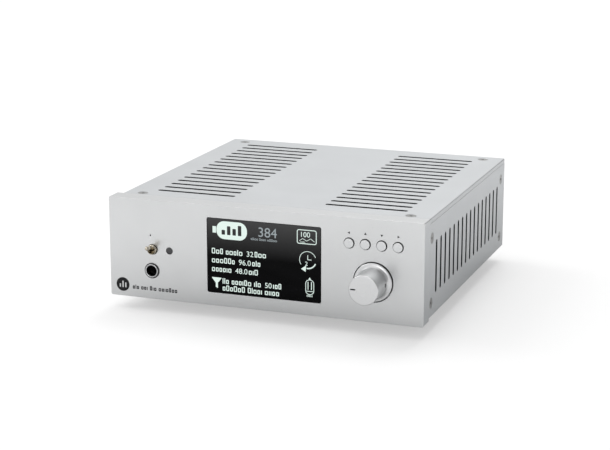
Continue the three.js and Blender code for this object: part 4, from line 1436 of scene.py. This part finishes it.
def usb_socket():
    """A steel shell whose mouth has two slanted corners, round a tongue with four contacts."""
    _, high, at = extent("usb_socket")
    (wide, tall), (tongue, thick) = USB["mouth"], USB["tongue"]
    cut, bottom, tip = USB["chamfer"], high.y - USB["depth"], high.y - PIN_SETBACK
    left, right, base, top = at.x - wide, at.x + wide, at.z - tall, at.z + tall
    upper = (right, top - cut), (right - cut, top), (left + cut, top), (left, top - cut)
    shell = Shell()
    face = shell.body("usb_socket", 0.7, high.y, 0.3)
    mouth, inner = shell.sweep("y", polygon((left, base), (right, base), *upper), [(0, high.y), (0, bottom)])
    shell.flat(face, mouth)
    shell.flat(inner)
    shell.use("white_plastic")
    shell.block((at.x - tongue, bottom - 0.4, at.z - thick), (at.x + tongue, tip, at.z + thick))
    shell.use("contact_gold")
    for u in (at.x - 1.25, at.x + 1.25):
        for v in (at.z - (thick + 0.06), at.z + (thick + 0.06)):
            shell.block((u - 0.5, bottom + 1, v - 0.1), (u + 0.5, tip - 0.8, v + 0.1), 0.05)
    refine("usb_socket", shell, "screw_steel")


def power_inlet():
    """A round collar with a well and its centre pin."""
    _, high, at = extent("power_inlet")
    collar, well, pin = POWER["collar"], POWER["well"], POWER["pin"]
    bottom = high.y - POWER["depth"]
    shell = Shell()
    back = shell.body("power_inlet", 0.6, REAR_FRONT, 0.3)
    profile = [(collar, REAR_FRONT), (collar, high.y - 0.4), (collar - 0.4, high.y)]
    profile += [(well + 0.4, high.y), (well, high.y - 0.4), (well, bottom)]
    root, base = shell.sweep("y", circle(*at.xz), profile)
    shell.flat(back, root)
    shell.flat(base)
    shell.use("contact_gold")
    shell.rod(*at.xz, pin, bottom - 0.4, high.y - PIN_SETBACK, 0.3)
    refine("power_inlet", shell, "dark_plastic")


def rear_print():
    """Thin frames that group the sockets."""
    _, panel, _ = extent("rear_panel")
    area = Marks("ink", 0, panel.y + GAP / 10 + INK, 0)
    margin, line = 1.6, 0.3
    groups = [
        ("xlr_output_left", "xlr_output_right", "rca_output_left", "rca_output_right"),
        ("xlr_input", "rca_input"),
        ("optical_input", "usb_socket"),
    ]
    for group in groups:
        lows, highs, _ = zip(*[extent(node) for node in group])
        u0, u1 = min(low.x for low in lows) - margin, max(high.x for high in highs) + margin
        v0, v1 = min(low.z for low in lows) - margin, max(high.z for high in highs) + margin
        v1 = min(v1, panel.z - 1)
        area.fill(rounded(u0, v0, u1, v1, 1.5), rounded(u0 + line, v0 + line, u1 - line, v1 - line, 1.2))
    add_piece("rear_panel_print", area.shell, "dark_plastic")


# ---------------- Valves

VALVE = {"wall": 0.7, "dome": 6, "dome_level": 10, "pins": 9, "pin": 0.5, "pin_circle": 6}
ELECTRODES = {"mica": 1.8, "front": 12, "rear": 9, "thickness": 0.6, "anode": (3, 4), "offset": 4, "rod": 0.7}
GETTER = {"radius": 3.4, "front": 8, "thickness": 0.5, "rod": 0.35}  # the silvery disc near the tip
VALVE_BASE = {"margin": 1.7, "depth": 3, "thickness": 2.4}


def valve_pins(at):
    """Nine places out of ten round a circle, as the pins of a small valve stand."""
    return circle(*at.xz, VALVE["pins"] + 1, radius=VALVE["pin_circle"], turn=0.05)()[: VALVE["pins"]]


def valve(side):
    """A glass bulb with a sealed-off tip, round two anodes between mica discs, on a glass base."""
    node = f"valve_{side}"
    low, high, at = extent(node)
    radius, length = (high.x - low.x) / 2, high.y - low.y
    dome, level = VALVE["dome"], VALVE["dome_level"]
    shoulder = radius - dome
    tip = [(0, 0), (0.7, 0.15), (1.1, 0.8), (1.4, 3), (2.2, 3.9)]
    outside = tip + arc(shoulder, level, dome, 288, 360, 12)
    outside += [(radius, length - 1.2)] + arc(radius - 0.6, length - 0.7, 0.6, 0, 90, 4)
    inside = [(radius - 1.4, length)] + arc(shoulder, level, dome - VALVE["wall"], 360, 288, 12)
    inside += [(2, 4.8), (0, 4.9)]
    refine_turned(node, from_end(outside + inside, low.y, 1), "valve_glass", 80)
    electrodes(side, low, high, at)


def electrodes(side, low, high, at):
    """What is inside a valve's glass: mica discs, anodes, a getter, the base and the pins."""
    radius, length = (high.x - low.x) / 2, high.y - low.y
    mica, front, rear, thickness, (half_width, half_height), offset, rod = ELECTRODES.values()
    discs = [
        ("valve_ceramic", radius - mica, front, thickness),
        ("valve_ceramic", radius - mica, length - rear, thickness),
        ("inner_steel", GETTER["radius"], GETTER["front"], GETTER["thickness"]),
        ("valve_glass", radius - VALVE_BASE["margin"], length - VALVE_BASE["depth"], VALVE_BASE["thickness"]),
    ]
    works = Shell()
    for finish, size, start, depth in discs:
        works.use(finish)
        works.rod(*at.xz, size, low.y + start, low.y + start + depth, 0.1, 48)
    works.use("inner_steel")
    for u in (at.x - offset, at.x + offset):
        anode = rounded(u - half_width, at.z - half_height, u + half_width, at.z + half_height, 1.6)
        works.solid("y", anode, rim(low.y + front + thickness, high.y - rear, 0.3, steps=2))
        works.rod(u, at.z, rod, low.y + front - 2, low.y + front, sides=16)
    works.rod(*at.xz, GETTER["rod"], low.y + GETTER["front"] + 0.4, low.y + front, sides=12)
    for u, v in valve_pins(at):
        works.rod(u, v, VALVE["pin"], high.y - 8.4, high.y - 0.2, 0.1, 12)
    add_piece(f"valve_{side}_electrodes", works, "inner_steel")


def valve_socket(side):
    """A stepped ceramic ring with a gold contact for every pin."""
    node = f"valve_socket_{side}"
    low, high, at = extent(node)
    radius, length = (high.x - low.x) / 2, high.y - low.y
    waist = radius - 2.5
    ring = [(3, 0.4), (3.4, 0)] + arc(radius - 0.6, 0.6, 0.6, 270, 360, 4)
    ring += arc(radius - 0.6, 4.4, 0.6, 0, 90, 4) + [(waist + 0.4, 5), (waist, 5.4)]
    ring += arc(waist - 0.5, length - 0.5, 0.5, 0, 90, 4) + [(3.3, length), (3, length - 0.3), (3, 0.4)]
    shell = Shell()
    shell.sweep("y", circle(*at.xz), from_end(ring, low.y, 1))
    shell.use("contact_gold")
    for u, v in valve_pins(at):
        shell.rod(u, v, 0.9, low.y - 0.12, low.y + 1, 0.15, 16)
    refine(node, shell, "valve_ceramic")


# ---------------- Parts on the boards

# Places are (x, y) from the main board's front left corner
FILM_ROWS = [(x, y) for y in (22, 60) for x in (60, 70, 118, 128)]
TALL_CANS = {"radius": 8, "height": 30, "places": [(x, 112) for x in (28, 48, 144, 164)]}
SHORT_CANS = {
    "radius": 4,
    "height": 14,
    "places": [(x, 8) for x in (66, 78, 90, 102, 114)] + [(72, 134), (118, 134)],
}
FILM_BLOCKS = {"size": (6, 16, 11), "places": FILM_ROWS}
RELAYS = {"size": (10, 20, 9), "places": [(x, 138) for x in (30, 44, 58, 136, 150)]}
CHIPS = [  # with widths and lengths
    (88, 30, 12, 12),
    (88, 52, 8, 14),
    (104, 52, 8, 14),
    (92, 74, 10, 10),
    (20, 30, 7, 9),
    (20, 60, 7, 9),
    (165, 60, 7, 9),
    (96, 138, 9, 9),
]
CHIP_PITCH = 1.27
CHOKE = {"place": (96, 114), "radius": 9, "core": 3.2, "wire": 0.5, "turns": 26}
HEATSINK = {"place": (116, 104), "size": (14, 22), "height": 24, "base": 3, "fins": 5, "fin": 1.4}
CLEARANCE = 0.08  # between a part and its board


def capacitor(shell, x, y, base, radius, height):
    """A can in a plastic sleeve, crimped near its top, with a bare lid."""
    top = base + height
    profile = [(0, base), (radius - 0.4, base), (radius, base + 0.4), (radius, top - 2)]
    profile += [(radius - 0.4, top - 1.6), (radius, top - 1.2), (radius, top - 0.4)]
    profile += [(radius - 0.4, top), (radius - 0.9, top - 0.2)]
    shell.use("sleeve")
    _, mouth = shell.sweep("z", circle(x, y, 40), profile)
    shell.use("inner_steel")
    shell.flat(mouth)


def chip(shell, x, y, base, width, length):
    """A flat package with a row of legs along two sides."""
    shell.use("dark_plastic")
    shell.block((x, y, base + 0.3), (x + width, y + length, base + 1.9), 0.15)
    shell.use("inner_steel")
    count = int(length / CHIP_PITCH)
    for i in range(count):
        level = y + (i + 0.5) * length / count
        for near, far in ((x - 1.1, x + 0.2), (x + width - 0.2, x + width + 1.1)):
            shell.block((near, level - 0.22, base), (far, level + 0.22, base + 0.5), 0.05)


def choke(shell, x, y, base):
    """A toroid wound with enamelled wire."""
    core, wire, radius, turns = CHOKE["core"], CHOKE["wire"], CHOKE["radius"], CHOKE["turns"]
    centre = base + core + 2 * wire
    shell.use("dark_plastic")
    shell.sweep("z", circle(x, y, 48), arc(radius, centre, core, 0, 360, 16))
    shell.use("copper")
    for i in range(turns):
        start = len(shell.points)
        shell.sweep("y", circle(radius, 0, 20), arc(core + wire, 0, wire, 0, 360, 8))
        turn = Matrix.Rotation(2 * math.pi * i / turns, 4, "Z")
        shell.turn(Matrix.Translation((x, y, centre)) @ turn, start)


def heatsink(shell, x, y, base):
    """A plate with upright fins."""
    (width, length), fins, fin = HEATSINK["size"], HEATSINK["fins"], HEATSINK["fin"]
    back, top = y + length, base + HEATSINK["height"]
    shell.block((x, y, base), (x + width, back, base + HEATSINK["base"]))
    for i in range(fins):
        left = x + i * (width - fin) / (fins - 1)
        shell.block((left, y, base + HEATSINK["base"] - 0.5), (left + fin, back, top))


def board_parts():
    """What stands on the main board: capacitors, relays, chips, a choke and a heatsink."""
    low, high, _ = extent("main_board")
    base = high.z + CLEARANCE
    cans, blocks, chips = Shell("sleeve"), Shell("film_capacitor"), Shell("dark_plastic")
    for kind in (TALL_CANS, SHORT_CANS):
        for x, y in kind["places"]:
            capacitor(cans, low.x + x, low.y + y, base, kind["radius"], kind["height"])
    add_piece("board_capacitors", cans, "dark_plastic")
    for finish, kind in (("film_capacitor", FILM_BLOCKS), ("dark_plastic", RELAYS)):
        blocks.use(finish)
        width, length, height = kind["size"]
        for x, y in kind["places"]:
            left, front = low.x + x, low.y + y
            blocks.block((left, front, base), (left + width, front + length, base + height), 0.5)
    add_piece("board_film_capacitors_and_relays", blocks, "dark_plastic")
    for x, y, width, length in CHIPS:
        chip(chips, low.x + x, low.y + y, base, width, length)
    add_piece("board_chips", chips, "dark_plastic")
    others = [("choke", choke, Shell("dark_plastic"), CHOKE), ("heatsink", heatsink, Shell(), HEATSINK)]
    for name, make, shell, sizes in others:
        x, y = sizes["place"]
        make(shell, low.x + x, low.y + y, base)
        add_piece(f"board_{name}", shell, "inner_steel")


# ---------------- Stage

CAMERA_AT = (373.46, -1036.34, 319.12)
CAMERA_AZIMUTH = 20.11  # degrees round from the front, to the right
CAMERA_ELEVATION = 14.21
CAMERA_LENS = 101.63
LIGHTS = {  # where, aimed at, size and power
    "key_light": ((-2.0, 0.3, 1.9), (0, 0, 0.03), 1.6, 17),
    "rear_light": ((0.1, 1.4, 2.6), (0, 0, 0.03), 1.4, 22),
    "front_light": ((0.1, -2.6, 0.7), (0.05, 0, 0.03), 1.2, 7.5),
}
# How bright the studio is from its left (0) to its right (1), and from the horizon to overhead
WORLD_STOPS = ((0.0, 0.95), (0.28, 0.92), (0.37, 1.0), (0.55, 1.0), (0.62, 0.5), (0.7, 0.3), (0.8, 0.42))
WORLD_STRENGTH = {"horizon": 0.85, "overhead": 1.15}
FLOOR_REACH = 12  # metres


def camera():
    data = bpy.data.cameras.new("camera")
    data.lens = CAMERA_LENS
    data.sensor_width = 36
    data.clip_start = 0.01
    data.clip_end = 50
    eye = new_object("camera", data)
    eye.location = Vector(CAMERA_AT) * MM
    eye.rotation_euler = (math.radians(90 - CAMERA_ELEVATION), 0, math.radians(CAMERA_AZIMUTH))
    bpy.context.scene.camera = eye


def lights():
    """A large soft light from the left, one above the back and a fill in front."""
    for name, (at, aim, size, power) in LIGHTS.items():
        data = bpy.data.lights.new(name, "AREA")
        data.shape = "DISK"
        data.size = size
        data.energy = power
        lamp = new_object(name, data)
        lamp.location = at
        lamp.rotation_euler = (Vector(aim) - Vector(at)).to_track_quat("-Z", "Y").to_euler()


def world():
    """A white studio, brighter overhead, with a dim band to the right of its middle."""
    studio = bpy.data.worlds.new("studio")
    bpy.context.scene.world = studio
    studio.use_nodes = True
    tree = studio.node_tree
    way = add_node(tree, "ShaderNodeTexCoord").outputs["Generated"]
    split = add_node(tree, "ShaderNodeSeparateXYZ", {0: way}).outputs
    across = add_node(tree, "ShaderNodeMapRange", {"Value": split["X"], "From Min": -1}).outputs["Result"]
    ramp = add_node(tree, "ShaderNodeValToRGB", {"Fac": across})
    stops = ramp.color_ramp.elements
    for _ in range(len(WORLD_STOPS) - 2):
        stops.new(0.5)
    for stop, (place, grey) in zip(stops, WORLD_STOPS):
        stop.position = place
        stop.color = (grey, grey, grey, 1)
    ends = {"To Min": WORLD_STRENGTH["horizon"], "To Max": WORLD_STRENGTH["overhead"]}
    rise = add_node(tree, "ShaderNodeMapRange", {"Value": split["Z"], **ends}).outputs["Result"]
    background = tree.nodes["Background"]
    tree.links.new(ramp.outputs["Color"], background.inputs["Color"])
    tree.links.new(rise, background.inputs["Strength"])


def floor():
    mesh = bpy.data.meshes.new("studio_floor")
    reach = FLOOR_REACH
    corners = [(-reach, -reach, 0), (reach, -reach, 0), (reach, reach, 0), (-reach, reach, 0)]
    mesh.from_pydata(corners, [], [(0, 1, 2, 3)])
    mesh.materials.append(material("floor"))
    ground = new_object("studio_floor", mesh)
    ground.location.z = CAD_BOUNDS[0][2] - FLOOR_CLEARANCE * MM


# ---------------- Carried-over CAD pieces

POSTS = [f"corner_post_{end}_{side}" for end in ("front", "rear") for side in ("left", "right")]
CARRIED = {
    "inner_steel": (*POSTS, "volume_potentiometer"),
    "screw_steel": ("volume_shaft",),
    "dark_plastic": ("display_module",),
    "circuit_board": ("display_board", "button_board", "control_board", "main_board", "valve_board"),
}


def carried_nodes():
    """CAD nodes whose shape is right: their edges are softened and they get a finish."""
    for finish, nodes in CARRIED.items():
        for name in nodes:
            node = frame["nodes"][name]
            node.data.materials.clear()
            node.data.materials.append(material(finish))
            soften = node.modifiers.new("soft edges", "BEVEL")
            soften.width = 0.25 * MM
            soften.segments = 2
            soften.limit_method = "ANGLE"
            soften.angle_limit = math.radians(50)


# ---------------- Assembly

camera()
world()
lights()
floor()
carried_nodes()
front_panel()
case_plates()
board_pillars()
for each_end in ("front", "rear"):
    for each_side in ("left", "right"):
        foot(each_end, each_side)
case_screws()
volume_knob()
knob_set_screw()
for each_way in BUTTON_WAYS:
    button(each_way)
button_symbols()
toggle_lever()
toggle_switch()
headphone_bezel()
headphone_jack()
ir_window()
status_led()
display_window()
display_image()
panel_print()
for each_socket in XLR_NODES:
    xlr_socket(each_socket)
xlr_screws()
rca_socket("rca_output_left", "white_plastic")
rca_socket("rca_output_right", "red_plastic")
rca_socket("rca_input", "dark_plastic")
optical_input()
usb_socket()
power_inlet()
rear_print()
for each_side in ("left", "right"):
    valve(each_side)
    valve_socket(each_side)
board_parts()
bpy.context.scene.view_settings.view_transform = "Standard"
